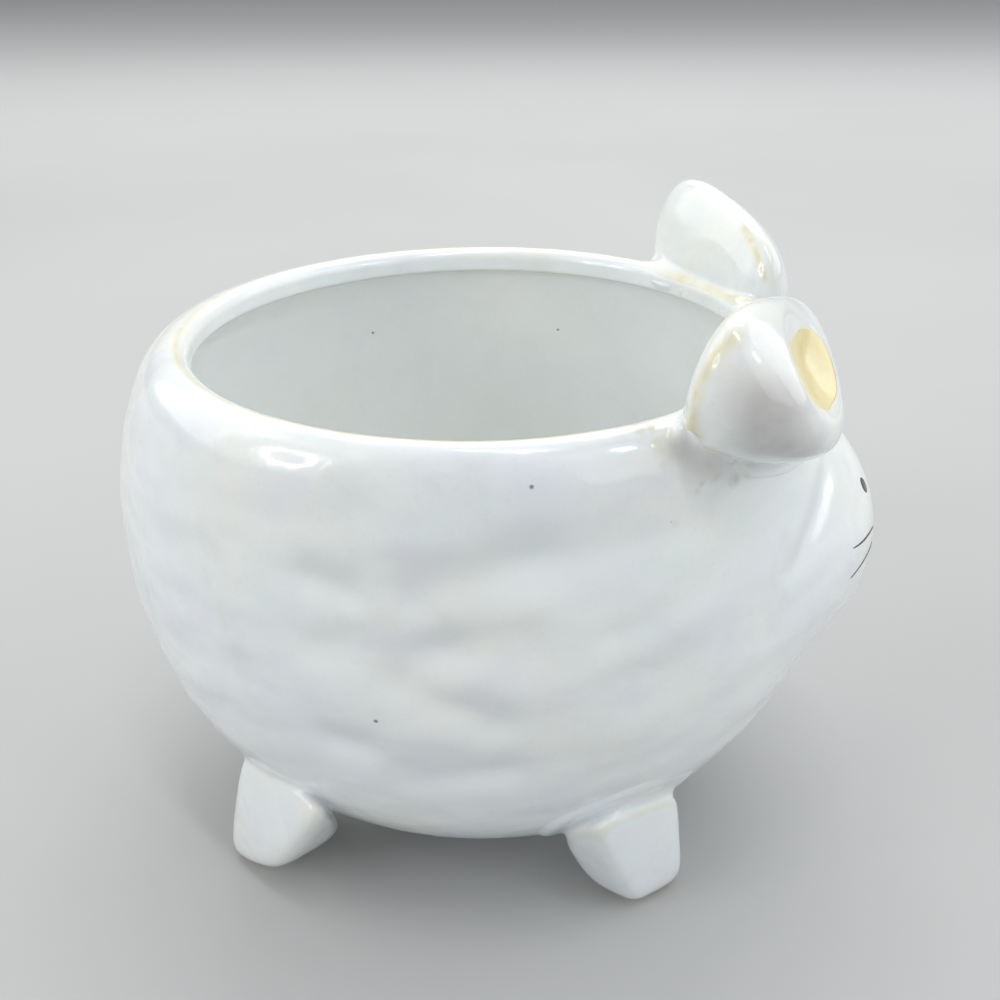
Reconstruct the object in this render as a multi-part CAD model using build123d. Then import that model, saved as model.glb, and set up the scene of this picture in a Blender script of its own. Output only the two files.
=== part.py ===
from build123d import *
import math
import os
import numpy as np

# ---------------------------------------------------------------------------
# Cat shaped ceramic planter, millimetres.
# +X is forward (towards the face), +Y is the animal's left, +Z is up.
# The origin is on the ground, under the middle of the overall length and width.
# ---------------------------------------------------------------------------

# driving dimensions -------------------------------------------------------
X_MID = 4.016              # middle of the overall length, in the bowl's own axes
RIM_HEIGHT = 94.22         # top of the rolled lip above the ground
BELLY_HEIGHT = 8.65        # underside of the bowl above the ground
BELLY_FLAT = 24.70         # half-length of the flat underside
# bowl outline in the three directions: height of the widest level, half-extent
# there, lower curve powers, half-extent at the rim, upper curve power
FRONT = (55.56, 64.79, 1.2907, 2.4558, 51.01, 2.0274)
REAR = (58.63, 62.588, 2.0640, 1.9502, 52.68, 2.4755)
SIDE = (61.31, 55.206, 2.1118, 2.1655, 52.36, 2.4412)
# face bulge: centre x, half-length, half-width, half-height, centre height
FACE = (27.88, 42.53, 39.50, 29.365, 59.44)
FACE_BLEND = 1.6           # softness of the valley around the face
# crest of the lip: centre x, front half-length, rear half-length, half-width
CREST = (1.02, 48.19, 50.18, 49.14)
LIP_HALF = 2.30            # crest to the lip's inner face
LIP_DROP = 4.70            # height of the lip's inner face
SHOULDER_DROP = 7.0        # where the shoulder starts to roll into the lip
WALL = 4.6                 # wall of the bowl
FLOOR = 5.2                # thickness of the bowl's floor
DRAIN_R = 5.0              # drain hole radius
ENAMEL = 0.22              # raised height of the fired-on colour
# ears, feet: rounded solids, each the smooth meeting of flat faces
# (outward normal x, y, z and distance from the solid's centre)
EAR_C = (44.0, -37.0, 97.0)
EAR_K = 0.2234
EAR_FACES = ((-0.8376, 0.4934, 0.2345, 9.223), (-0.1365, -0.9906, 0.0018, 14.8907),
             (0.7622, -0.2741, 0.5865, 8.4205), (0.9941, 0.1035, 0.0310, 16.2785),
             (-0.0298, -0.3327, -0.9426, 10.4866), (0.2790, 0.7243, -0.6305, 25.5623))
# shallow dish in the front of each ear: a flattened ball
DISH_C = (53.98, -37.98, 103.41)
DISH_R, DISH_DEPTH_R = 10.65, 7.12
DISH_N = (0.7622, -0.2741, 0.5865)
PATCH_LEVEL = 5.73         # the dish is painted below this height along its axis
EAR_IN_LIP = 1.1           # the ears stop this far inside the lip's crest
REAR_FOOT_C = (-36.0, -29.5, 9.0)
REAR_FOOT_K = 0.4885
REAR_FOOT_FACES = ((-0.7562, -0.6351, 0.1573, 5.7002), (0.5719, -0.7047, -0.4199, 9.1982),
                   (-0.6702, 0.6862, 0.2828, 7.6966), (0.5044, 0.8216, -0.2657, 9.0446),
                   (0.0179, -0.1113, -0.9936, 9.6911))
FRONT_FOOT_C = (29.5, -32.5, 9.0)
FRONT_FOOT_K = 0.4273
FRONT_FOOT_FACES = ((0.6269, -0.7785, 0.0303, 6.1815), (-0.8106, -0.5136, -0.2813, 9.3282),
                    (0.7143, 0.6726, 0.1932, 8.9403), (-0.5452, 0.7485, -0.3774, 9.9151),
                    (-0.1839, -0.1299, -0.9743, 9.0438))
# painted features, in the bowl's own axes
EYE_Y, EYE_Z, EYE_HALF_W, EYE_HALF_H = 8.6, 69.9, 1.75, 1.45
NOSE_Z, NOSE_HALF_W, NOSE_HALF_H = 63.4, 2.3, 1.5
MOUTH_HALF_W, MOUTH_DROP, MOUTH_LINE = 3.4, 2.6, 0.45
WHISKER_UP = ((9.3, 62.3), (13.0, 63.6), (17.4, 64.2), (21.4, 64.8))
WHISKER_LOW = ((10.2, 60.0), (14.5, 60.5), (18.6, 60.2), (22.2, 59.7))
WHISKER_W = 0.55

N_AROUND = 56              # points in each closed section
TWO_PI = 2.0 * math.pi
THETA = [TWO_PI * i / N_AROUND for i in range(N_AROUND)]
KNOTS = [TWO_PI * i / N_AROUND for i in range(N_AROUND + 1)]


# outline functions ----------------------------------------------------------
def extent(spec, z, drop=0.0, floor_z=BELLY_HEIGHT, flat=BELLY_FLAT):
    """Half-extent of the bowl at height z in one of the three directions."""
    zm, rm, p, q, rt, s = spec
    rm, rt = rm - drop, rt - drop
    if z <= zm:
        u = (zm - z) / (zm - floor_z)
        return flat + (rm - flat) * max(1.0 - min(u, 1.0) ** p, 0.0) ** (1.0 / q)
    v = (z - zm) / (RIM_HEIGHT - zm)
    return rm - (rm - rt) * v ** s


def oval(t, front, rear, side):
    """Radius of an oval with different front and rear half-lengths."""
    c, s = math.cos(t), math.sin(t)
    a = front if c > 0 else rear
    return 1.0 / math.sqrt((c / a) ** 2 + (s / side) ** 2)


def face_radius(t, z, drop=0.0):
    """Radius of the face bulge along direction t at height z, or None."""
    cx, ax, ay, az, cz = FACE
    ax, ay, az = ax - drop, ay - drop, az - drop
    k = 1.0 - ((z - cz) / az) ** 2
    if k <= 0:
        return None
    c, s = math.cos(t), math.sin(t)
    qa = (c / ax) ** 2 + (s / ay) ** 2
    qb = -2.0 * c * cx / ax ** 2
    qc = (cx / ax) ** 2 - k
    disc = qb * qb - 4 * qa * qc
    if disc <= 0:
        return None
    return (-qb + math.sqrt(disc)) / (2 * qa)


def smooth_max(a, b, k):
    h = max(k - abs(a - b), 0.0)
    return max(a, b) + h * h / (4.0 * k)


def outer_radius(t, z, grow=0.0):
    side_flat = BELLY_FLAT * SIDE[1] / FRONT[1]
    r = oval(t, extent(FRONT, z), extent(REAR, z), extent(SIDE, z, flat=side_flat))
    f = face_radius(t, z)
    if f is not None:
        r = smooth_max(r, f, FACE_BLEND)
    return r + grow


def inner_radius(t, z):
    floor_z = BELLY_HEIGHT + FLOOR
    flat = BELLY_FLAT - 2.0
    side_flat = flat * SIDE[1] / FRONT[1]
    r = oval(t, extent(FRONT, z, WALL, floor_z, flat), extent(REAR, z, WALL, floor_z, flat),
             extent(SIDE, z, WALL, floor_z, side_flat))
    f = face_radius(t, z, WALL)
    if f is not None:
        r = smooth_max(r, f, 3.0)
    return r


def crest_point(t):
    """Point of the lip's crest seen from the bowl's axis along direction t."""
    cx, fr, rr, hw = CREST
    x, y = fr * math.cos(t) if math.cos(t) > 0 else rr * math.cos(t), hw * math.sin(t)
    return cx + x, y


def crest_radius(t):
    """Radius of the crest about the bowl's axis along direction t."""
    lo, hi = 20.0, 80.0
    cx, fr, rr, hw = CREST
    for _ in range(50):
        m = 0.5 * (lo + hi)
        x, y = m * math.cos(t) - cx, m * math.sin(t)
        a = fr if x > 0 else rr
        if (x / a) ** 2 + (y / hw) ** 2 < 1.0:
            lo = m
        else:
            hi = m
    return 0.5 * (lo + hi)


def ring(radius_of, z_of):
    """Closed smooth section through N_AROUND points."""
    pts = []
    for t in THETA:
        r = radius_of(t)
        z = z_of(t) if callable(z_of) else z_of
        pts.append((r * math.cos(t) - X_MID, r * math.sin(t), z))
    return Wire([Edge.make_spline(pts, periodic=True, parameters=KNOTS)])


def lower_levels(floor_z, top_z, count):
    """Heights spaced evenly along the bowl's curved side."""
    zs = np.concatenate([floor_z + (1.0 - np.cos(np.linspace(0, math.pi / 2, 4000))) * (top_z - floor_z)])
    drop = 0.0 if floor_z < BELLY_HEIGHT + 1 else WALL
    rs = np.array([0.5 * (extent(REAR, z, drop, floor_z) + extent(SIDE, z, drop, floor_z)) for z in zs])
    length = np.concatenate([[0.0], np.cumsum(np.hypot(np.diff(zs), np.diff(rs)))])
    want = np.linspace(0.0, length[-1], count)
    return list(np.interp(want, length, zs))


# pot body ---------------------------------------------------------------------
Z_ROLL = RIM_HEIGHT - SHOULDER_DROP


def shoulder(t, w):
    """Smooth roll from the shoulder to the crest of the lip, w from 0 to 1."""
    r0 = outer_radius(t, Z_ROLL)
    slope = (outer_radius(t, Z_ROLL) - outer_radius(t, Z_ROLL - 0.5)) / 0.5
    r1 = crest_radius(t)
    m0 = 1.25 * SHOULDER_DROP
    m1 = 1.55 * (r0 - r1)
    h00, h10 = 2 * w ** 3 - 3 * w ** 2 + 1, w ** 3 - 2 * w ** 2 + w
    h01, h11 = -2 * w ** 3 + 3 * w ** 2, w ** 3 - w ** 2
    r = h00 * r0 + h10 * slope * m0 + h01 * r1 - h11 * m1
    z = h00 * Z_ROLL + h10 * m0 + h01 * RIM_HEIGHT
    return r, z


rings = []
outer_zs = lower_levels(BELLY_HEIGHT, Z_ROLL, 17)
for z in outer_zs:
    rings.append(ring(lambda t: outer_radius(t, z), z))
for w in (0.25, 0.5, 0.75, 1.0):
    rings.append(ring(lambda t: shoulder(t, w)[0], lambda t: shoulder(t, w)[1]))
for a in (30, 60, 90):
    ca, sa = math.cos(math.radians(a)), math.sin(math.radians(a))
    rings.append(ring(lambda t: crest_radius(t) - LIP_HALF * sa, RIM_HEIGHT - LIP_HALF * (1 - ca)))
rings.append(ring(lambda t: crest_radius(t) - LIP_HALF - 0.05, RIM_HEIGHT - 0.5 * (LIP_HALF + LIP_DROP)))
rings.append(ring(lambda t: crest_radius(t) - LIP_HALF + 0.12, RIM_HEIGHT - LIP_DROP))
z_under = RIM_HEIGHT - LIP_DROP - 2.2
rings.append(ring(lambda t: 0.45 * (crest_radius(t) - LIP_HALF) + 0.55 * inner_radius(t, z_under), z_under))
inner_top = RIM_HEIGHT - LIP_DROP - 6.0
inner_zs = lower_levels(BELLY_HEIGHT + FLOOR, inner_top, 14)[::-1]
for z in inner_zs:
    rings.append(ring(lambda t: inner_radius(t, z), z))

pot_shell = Solid.make_loft(rings)
if pot_shell.volume < 0:
    pot_shell = -pot_shell
drain = Cylinder(DRAIN_R, 3 * FLOOR).moved(Location((0, 0, BELLY_HEIGHT + FLOOR / 2)))
pot_body = (Part() + pot_shell) - drain


# ears and feet ------------------------------------------------------------------
def rounded(p, centre, faces, k):
    """Signed distance-like value of a rounded solid, negative inside."""
    q = np.asarray(p, float) - np.asarray(centre, float)
    f = np.asarray(faces, float)
    v = q @ f[:, :3].T - f[:, 3]
    m = v.max(-1)
    return m + np.log(np.exp(k * (v - m[..., None])).sum(-1)) / k


def section_centre(z, centre, faces, k):
    """Point well inside the solid's section at height z."""
    c = np.array([centre[0], centre[1]], float)
    step = 8.0
    best = rounded([c[0], c[1], z], centre, faces, k)
    while step > 0.01:
        moved = False
        for dx, dy in ((1, 0), (-1, 0), (0, 1), (0, -1), (.7, .7), (-.7, .7), (.7, -.7), (-.7, -.7)):
            v = rounded([c[0] + dx * step, c[1] + dy * step, z], centre, faces, k)
            if v < best - 1e-9:
                c, best, moved = c + np.array([dx * step, dy * step]), v, True
                break
        if not moved:
            step *= 0.5
    return c, best


def rounded_solid(z_levels, centre, faces, k, grow=0.0, count=28):
    """Loft of the solid's horizontal sections, optionally grown outwards."""
    knots = [TWO_PI * i / count for i in range(count + 1)]
    wires = []
    for z in z_levels:
        c, best = section_centre(z, centre, faces, k)
        pts = []
        for i in range(count):
            t = TWO_PI * i / count
            d = np.array([math.cos(t), math.sin(t)])
            lo, hi = 0.0, 60.0
            for _ in range(60):
                m = 0.5 * (lo + hi)
                if rounded([c[0] + d[0] * m, c[1] + d[1] * m, z], centre, faces, k) < grow:
                    lo = m
                else:
                    hi = m
            pts.append((c[0] + d[0] * lo - X_MID, c[1] + d[1] * lo, z))
        wires.append(Wire([Edge.make_spline(pts, periodic=True, parameters=knots)]))
    s = Solid.make_loft(wires)
    return -s if s.volume < 0 else s


def end_of(centre, faces, k, z_from, way):
    """Height at which the solid's section shrinks to nothing, upwards or downwards."""
    lo, hi = 0.0, 60.0
    for _ in range(40):
        m = 0.5 * (lo + hi)
        if section_centre(z_from + way * m, centre, faces, k)[1] < 0.0:
            lo = m
        else:
            hi = m
    return z_from + way * lo


def outside_piece(shape, way):
    """The separate solid of a cut shape that reaches furthest up (1) or down (-1)."""
    return max(shape.solids(), key=lambda s: way * (s.bounding_box().max.Z if way > 0 else s.bounding_box().min.Z))


ear_top = end_of(EAR_C, EAR_FACES, EAR_K, EAR_C[2], 1)
ear_base = end_of(EAR_C, EAR_FACES, EAR_K, EAR_C[2], -1)
ear_levels = [ear_base + (ear_top - ear_base) * 0.5 * (1.0 - math.cos(math.pi * (0.03 + 0.94 * i / 15)))
              for i in range(16)]
right_ear_blank = rounded_solid(ear_levels, EAR_C, EAR_FACES, EAR_K)
# the ears stand outside the opening
lip_prism = extrude(Face(ring(lambda t: crest_radius(t) - EAR_IN_LIP, 70.0)), amount=60.0, dir=(0, 0, 1))


def flat_ball(radius, depth_radius):
    """Ball flattened along the ear dish's axis."""
    arc = Edge.make_spline([(radius * math.cos(a), 0, depth_radius * math.sin(a))
                            for a in [math.radians(-90 + 15 * i) for i in range(13)]],
                           tangents=[(1, 0, 0), (-1, 0, 0)])
    axis = Edge.make_line((0, 0, depth_radius), (0, 0, -depth_radius))
    ball = revolve(Face(Wire([arc, axis])), Axis.Z, 360)
    return ball.moved(Plane(origin=(DISH_C[0] - X_MID, DISH_C[1], DISH_C[2]), z_dir=DISH_N).location)


dish = flat_ball(DISH_R, DISH_DEPTH_R)
right_ear = outside_piece((Part() + right_ear_blank) - lip_prism - pot_body - dish, 1)
left_ear = outside_piece((Part() + right_ear_blank.mirror(Plane.XZ)) - lip_prism - pot_body - dish.mirror(Plane.XZ), 1)


def feet(centre, faces, k):
    """Right and left foot of a pair."""
    levels = [0.0, 0.5, 1.3, 2.6, 4.5, 7.0, 10.0, 14.0, 18.0, 22.5, 27.0, 32.0, 37.0]
    blank = rounded_solid(levels, centre, faces, k)
    return (outside_piece((Part() + blank) - pot_body, -1),
            outside_piece((Part() + blank.mirror(Plane.XZ)) - pot_body, -1))


rear_right_foot, rear_left_foot = feet(REAR_FOOT_C, REAR_FOOT_FACES, REAR_FOOT_K)
front_right_foot, front_left_foot = feet(FRONT_FOOT_C, FRONT_FOOT_FACES, FRONT_FOOT_K)

# fired-on colour ----------------------------------------------------------------
# a skin over the front of the bowl, from which the painted marks are cut
skin_rings = [ring(lambda t: outer_radius(t, z, ENAMEL), z) for z in outer_zs[3:]]
bowl_skin = Solid.make_loft(skin_rings)
if bowl_skin.volume < 0:
    bowl_skin = -bowl_skin


def painted(outline):
    """Raised layer on the bowl inside an outline drawn in the YZ plane."""
    prism = extrude(outline, amount=60.0, dir=(1, 0, 0))
    layer = ((Part() + prism) & bowl_skin) - pot_body
    return [s for s in layer.solids() if s.bounding_box().min.X > 50.0]


def yz(points):
    """Closed face in the YZ plane at x = 40, through smooth points."""
    e = Edge.make_spline([(40.0, y, z) for y, z in points], periodic=True)
    return Face(Wire([e]))


def ellipse_points(cy, cz, hw, hh, tilt=0.0, n=14):
    out = []
    for i in range(n):
        a = TWO_PI * i / n
        u, v = hw * math.cos(a), hh * math.sin(a)
        out.append((cy + u * math.cos(tilt) - v * math.sin(tilt), cz + u * math.sin(tilt) + v * math.cos(tilt)))
    return out


def stroke_points(line, width, n=13, taper=0.35):
    """Outline of a tapered brush stroke along a curved line."""
    line = np.asarray(line, float)
    s = np.linspace(0, 1, len(line))
    co = [np.polyfit(s, line[:, j], min(3, len(line) - 1)) for j in (0, 1)]
    u = np.linspace(0, 1, n)
    p = np.stack([np.polyval(c, u) for c in co], -1)
    d = np.gradient(p, axis=0)
    d /= np.linalg.norm(d, axis=1)[:, None]
    nrm = np.stack([-d[:, 1], d[:, 0]], -1)
    w = 0.5 * width * (taper + (1 - taper) * np.sin(np.pi * np.clip(u * 0.9 + 0.12, 0, 1)) ** 0.7)
    up = p + nrm * w[:, None]
    dn = (p - nrm * w[:, None])[::-1]
    return [tuple(v) for v in np.concatenate([up, dn])]


def poly_face(points):
    pts = [(40.0, y, z) for y, z in points]
    edges = [Edge.make_line(pts[i], pts[(i + 1) % len(pts)]) for i in range(len(pts))]
    return Face(Wire(edges))


right_eye = painted(yz(ellipse_points(-EYE_Y, EYE_Z, EYE_HALF_W, EYE_HALF_H, -0.35)))
left_eye = painted(yz(ellipse_points(EYE_Y, EYE_Z, EYE_HALF_W, EYE_HALF_H, 0.35)))
nose = painted(yz(ellipse_points(0.0, NOSE_Z, NOSE_HALF_W, NOSE_HALF_H)))
right_whiskers, left_whiskers = [], []
for line in (WHISKER_UP, WHISKER_LOW):
    outline = stroke_points(line, WHISKER_W)
    left_whiskers += painted(poly_face(outline))
    right_whiskers += painted(poly_face([(-y, z) for y, z in outline[::-1]]))

# mouth: one brush line, a drop under the nose and two curls
m_top, m_mid = NOSE_Z - NOSE_HALF_H - 0.15, NOSE_Z - NOSE_HALF_H - MOUTH_DROP
left_half = []
for i in range(9):
    u = i / 8.0
    left_half.append((MOUTH_HALF_W * u, m_mid - 1.1 * math.sin(math.pi * min(u * 1.12, 1.0)) + 0.9 * max(u - 0.75, 0) * 2))
mid = [(-y, z) for y, z in left_half[::-1]] + left_half[1:]
up_edge, dn_edge = [], []
arr = np.asarray(mid)
grad = np.gradient(arr, axis=0)
grad /= np.linalg.norm(grad, axis=1)[:, None]
for (y, z), (dy, dz) in zip(mid, grad):
    up_edge.append((y - dz * MOUTH_LINE / 2, z + dy * MOUTH_LINE / 2))
    dn_edge.append((y + dz * MOUTH_LINE / 2, z - dy * MOUTH_LINE / 2))
h = MOUTH_LINE / 2
outline = ([p for p in up_edge if p[0] < -h - 0.05] + [(-h, m_mid + h), (-h, m_top), (h, m_top), (h, m_mid + h)]
           + [p for p in up_edge if p[0] > h + 0.05] + dn_edge[::-1])
mouth = painted(poly_face(outline))


def mirrored(solids):
    return [s.mirror(Plane.XZ) for s in solids]


# inner ear patches: thin lining of each ear's dish, up to the paint's edge
below = Plane(origin=(EAR_C[0] - X_MID + DISH_N[0] * PATCH_LEVEL, EAR_C[1] + DISH_N[1] * PATCH_LEVEL,
                      EAR_C[2] + DISH_N[2] * PATCH_LEVEL), z_dir=DISH_N)
slab = Box(60, 60, 20, align=(Align.CENTER, Align.CENTER, Align.MAX)).moved(below.location)
lining = (dish - flat_ball(DISH_R - ENAMEL, DISH_DEPTH_R - ENAMEL)) & slab & right_ear_blank
right_inner_ear = [max(lining.solids(), key=lambda s: s.volume)]
left_inner_ear = mirrored(right_inner_ear)

# ---------------------------------------------------------------------------
PARTS = {
    "pot_body": pot_body.solids(),
    "left_ear": [left_ear], "right_ear": [right_ear],
    "front_left_foot": [front_left_foot], "front_right_foot": [front_right_foot],
    "rear_left_foot": [rear_left_foot], "rear_right_foot": [rear_right_foot],
    "left_inner_ear": left_inner_ear, "right_inner_ear": right_inner_ear,
    "left_eye": left_eye, "right_eye": right_eye,
    "nose": nose, "mouth": mouth,
    "left_whiskers": left_whiskers, "right_whiskers": right_whiskers,
}

os.makedirs("parts", exist_ok=True)
for name, solids in PARTS.items():
    shape = solids[0] if len(solids) == 1 else Compound(solids)
    export_step(shape, os.path.join("parts", name + ".step"))
    bb = shape.bounding_box()
    print(f"{name:18s} solids {len(solids)} volume {shape.volume:10.2f} "
          f"x {bb.min.X:.2f}..{bb.max.X:.2f} y {bb.min.Y:.2f}..{bb.max.Y:.2f} z {bb.min.Z:.2f}..{bb.max.Z:.2f} valid {shape.is_valid}")
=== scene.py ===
import math

import bpy
import numpy as np
from mathutils import Matrix, Vector, noise
from mathutils.bvhtree import BVHTree


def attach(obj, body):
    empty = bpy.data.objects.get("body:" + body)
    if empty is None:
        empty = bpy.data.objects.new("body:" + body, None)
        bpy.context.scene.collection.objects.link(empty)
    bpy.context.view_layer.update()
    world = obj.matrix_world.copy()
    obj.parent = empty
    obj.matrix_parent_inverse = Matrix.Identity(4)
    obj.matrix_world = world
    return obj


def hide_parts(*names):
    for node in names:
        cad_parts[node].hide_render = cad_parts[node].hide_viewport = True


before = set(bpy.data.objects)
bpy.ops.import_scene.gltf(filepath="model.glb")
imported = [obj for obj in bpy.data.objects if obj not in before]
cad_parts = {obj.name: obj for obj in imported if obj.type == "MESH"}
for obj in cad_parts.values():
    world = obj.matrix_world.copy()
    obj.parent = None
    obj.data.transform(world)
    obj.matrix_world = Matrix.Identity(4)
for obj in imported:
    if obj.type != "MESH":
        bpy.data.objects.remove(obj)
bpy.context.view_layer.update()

MM = 0.001

# ---------------------------------------------------------------------------
# shape of the planter, millimetres, in the bowl's own axes (x = part x + X_MID)
# ---------------------------------------------------------------------------
X_MID = 4.016
RIM_HEIGHT = 94.22
BELLY_HEIGHT = 8.65
BELLY_FLAT = 24.70
FRONT = (55.56, 64.79, 1.2907, 2.4558, 51.01, 2.0274)
REAR = (58.63, 62.588, 2.0640, 1.9502, 52.68, 2.4755)
SIDE = (61.31, 55.206, 2.1118, 2.1655, 52.36, 2.4412)
FACE = (27.88, 42.53, 39.50, 29.365, 59.44)
FACE_BLEND = 3.0
CREST = (1.02, 48.19, 50.18, 49.14)
LIP_HALF = 2.30
LIP_DROP = 4.70
SHOULDER_DROP = 7.0
WALL = 4.6
FLOOR = 5.2
DRAIN_R = 5.0

EAR_C = (44.0, -37.0, 97.0)
EAR_K = 0.2234
EAR_FACES = ((-0.8376, 0.4934, 0.2345, 9.223), (-0.1365, -0.9906, 0.0018, 14.8907),
             (0.7622, -0.2741, 0.5865, 8.4205), (0.9941, 0.1035, 0.0310, 16.2785),
             (-0.0298, -0.3327, -0.9426, 10.4866), (0.2790, 0.7243, -0.6305, 25.5623))
DISH_C = (53.98, -37.98, 103.41)
DISH_R, DISH_DEPTH_R = 10.65, 7.12
DISH_N = (0.7622, -0.2741, 0.5865)
PATCH_LEVEL = 5.73
EAR_IN_LIP = 1.1
# planes of the feet: outward normal and distance from the foot's centre; the first few meet in crisper edges
REAR_FOOT_C, REAR_FOOT_K = (-36.0, -29.5, 9.0), 0.4359
REAR_FOOT_FACES = ((-0.6781, -0.7274, 0.1054, 6.8262), (0.5898, -0.6012, -0.5392, 11.4403),
                   (-0.6871, 0.6983, 0.2005, 5.2574), (0.5822, 0.6589, 0.4763, 7.7492),
                   (0.2824, -0.2999, -0.9112, 8.25))
REAR_CRISP, REAR_CRISP_K = (0, 1), 0.8
FRONT_FOOT_C, FRONT_FOOT_K = (29.5, -32.5, 9.0), 0.5375
FRONT_FOOT_FACES = ((0.6557, -0.7549, -0.0087, 6.6145), (-0.4286, -0.8217, -0.3757, 8.2857),
                    (0.7339, 0.6604, 0.1589, 8.3107), (-0.8791, 0.4205, -0.2243, 8.004),
                    (-0.0495, -0.1472, -0.9879, 9.0109), (-0.4161, 0.6353, 0.6505, 6.0428))
FRONT_CRISP, FRONT_CRISP_K = (0, 1, 5), 1.3

EYE_Y, EYE_Z, EYE_HALF_W, EYE_HALF_H = 8.8, 69.9, 1.5, 1.3
NOSE_Z, NOSE_HALF_W, NOSE_HALF_H = 63.4, 2.3, 1.5
MOUTH_HALF_W, MOUTH_DROP, MOUTH_LINE = 3.4, 2.6, 0.45
WHISKER_UP = ((9.3, 62.3), (13.0, 63.6), (17.4, 64.2), (21.4, 64.8))
WHISKER_LOW = ((10.2, 60.0), (14.5, 60.5), (18.6, 60.2), (22.2, 59.7))
WHISKER_W = 0.44

# shallow dents in the belly: both ends, half width, depth
DENTS = (((-2.5, -54.8, 73.6), (12.7, -53.2, 79.0), 4.2, 0.26), ((12.7, -53.2, 79.0), (27.1, -48.3, 80.3), 4.0, 0.14),
         ((-16.7, -52.8, 74.3), (-12.7, -53.2, 73.6), 3.2, 0.24), ((-15.1, -53.5, 63.1), (0.6, -55.1, 65.0), 4.4, 0.20),
         ((0.6, -55.1, 65.0), (11.5, -54.2, 66.1), 4.2, 0.20), ((25.4, -50.4, 66.8), (28.4, -49.6, 67.6), 3.4, 0.14),
         ((-4.5, -55.0, 58.7), (7.3, -54.4, 52.8), 3.8, 0.26), ((-15.5, -52.4, 46.1), (-12.5, -52.4, 46.1), 3.6, 0.22),
         ((-5.0, -53.1, 41.0), (9.0, -53.1, 42.5), 4.2, 0.22), ((28.4, -49.5, 55.8), (33.0, -47.3, 57.0), 5.0, 0.16),
         ((-30.0, 47.0, 60.0), (-12.0, 53.0, 57.0), 4.5, 0.20), ((8.0, 54.0, 70.0), (24.0, 50.5, 68.0), 4.5, 0.18),
         ((-58.0, 16.0, 58.0), (-60.0, 2.0, 61.0), 5.0, 0.18), ((-57.0, -18.0, 47.0), (-59.0, -6.0, 44.0), 4.5, 0.18))
# the soft valley round each side of the face
FACE_VALLEY = ((57.7, -16.7, 77.7), (57.2, -19.1, 76.6), (56.7, -21.1, 75.8), (56.2, -23.3, 74.3), (55.5, -25.0, 73.4),
               (54.9, -26.4, 72.4), (53.8, -28.6, 71.0), (53.2, -30.1, 69.5), (52.2, -31.7, 68.0), (50.9, -33.3, 67.1),
               (49.6, -34.7, 66.2))
# thin lines where the glaze shows cream on the ears, right ear
EAR_CREAM = (((46.4, -22.1, 105.2), (47.8, -18.9, 103.3), (48.5, -17.0, 101.7), (49.0, -15.9, 100.6), (49.9, -14.4, 98.1)),)


def extent(spec, z, drop=0.0, floor_z=BELLY_HEIGHT, flat=BELLY_FLAT):
    zm, rm, p, q, rt, s = spec
    rm, rt = rm - drop, rt - drop
    z = np.asarray(z, float)
    u = np.clip((zm - z) / (zm - floor_z), 0.0, 1.0)
    v = np.clip((z - zm) / (RIM_HEIGHT - zm), 0.0, 1.2)
    low = flat + (rm - flat) * np.maximum(1.0 - u ** p, 0.0) ** (1.0 / q)
    return np.where(z <= zm, low, rm - (rm - rt) * v ** s)


def oval(t, front, rear, side):
    c, s = np.cos(t), np.sin(t)
    a = np.where(c > 0, front, rear)
    return 1.0 / np.sqrt((c / a) ** 2 + (s / side) ** 2)


def face_radius(t, z, drop=0.0):
    """Radius of the face bulge, very negative where there is none."""
    cx, ax, ay, az, cz = FACE
    ax, ay, az = ax - drop, ay - drop, az - drop
    c, s = np.cos(t), np.sin(t)
    k = 1.0 - ((z - cz) / az) ** 2
    qa = (c / ax) ** 2 + (s / ay) ** 2
    qb = -2.0 * c * cx / ax ** 2
    qc = (cx / ax) ** 2 - k
    disc = qb * qb - 4 * qa * qc
    ok = (k > 0) & (disc > 0)
    return np.where(ok, (-qb + np.sqrt(np.maximum(disc, 0.0))) / (2 * qa), -1e3)


def smooth_max(a, b, k):
    h = np.maximum(k - np.abs(a - b), 0.0)
    return np.maximum(a, b) + h * h / (4.0 * k)


def smooth_min(a, b, k):
    return -smooth_max(-a, -b, k)


def outer_radius(t, z):
    side_flat = BELLY_FLAT * SIDE[1] / FRONT[1]
    r = oval(t, extent(FRONT, z), extent(REAR, z), extent(SIDE, z, flat=side_flat))
    return smooth_max(r, face_radius(t, z), FACE_BLEND)


def inner_radius(t, z):
    floor_z = BELLY_HEIGHT + FLOOR
    flat = BELLY_FLAT - 2.0
    side_flat = flat * SIDE[1] / FRONT[1]
    r = oval(t, extent(FRONT, z, WALL, floor_z, flat), extent(REAR, z, WALL, floor_z, flat),
             extent(SIDE, z, WALL, floor_z, side_flat))
    return smooth_max(r, face_radius(t, z, WALL), 3.5)


def crest_radius(t):
    cx, fr, rr, hw = CREST
    c, s = np.cos(t), np.sin(t)
    out = np.zeros_like(np.asarray(t, float))
    for a, want in ((fr, 1), (rr, -1)):
        qa = (c / a) ** 2 + (s / hw) ** 2
        qb = -2 * c * cx / a ** 2
        qc = (cx / a) ** 2 - 1
        m = (-qb + np.sqrt(qb * qb - 4 * qa * qc)) / (2 * qa)
        x = m * c - cx
        out = np.where(x * want >= 0, m, out)
    return out


def even_levels(floor_z, top_z, count, drop):
    zs = floor_z + (1.0 - np.cos(np.linspace(0, math.pi / 2, 6000))) * (top_z - floor_z)
    rs = 0.5 * (extent(REAR, zs, drop, floor_z) + extent(SIDE, zs, drop, floor_z))
    length = np.concatenate([[0.0], np.cumsum(np.hypot(np.diff(zs), np.diff(rs)))])
    return np.interp(np.linspace(0.0, length[-1], count), length, zs)


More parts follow.
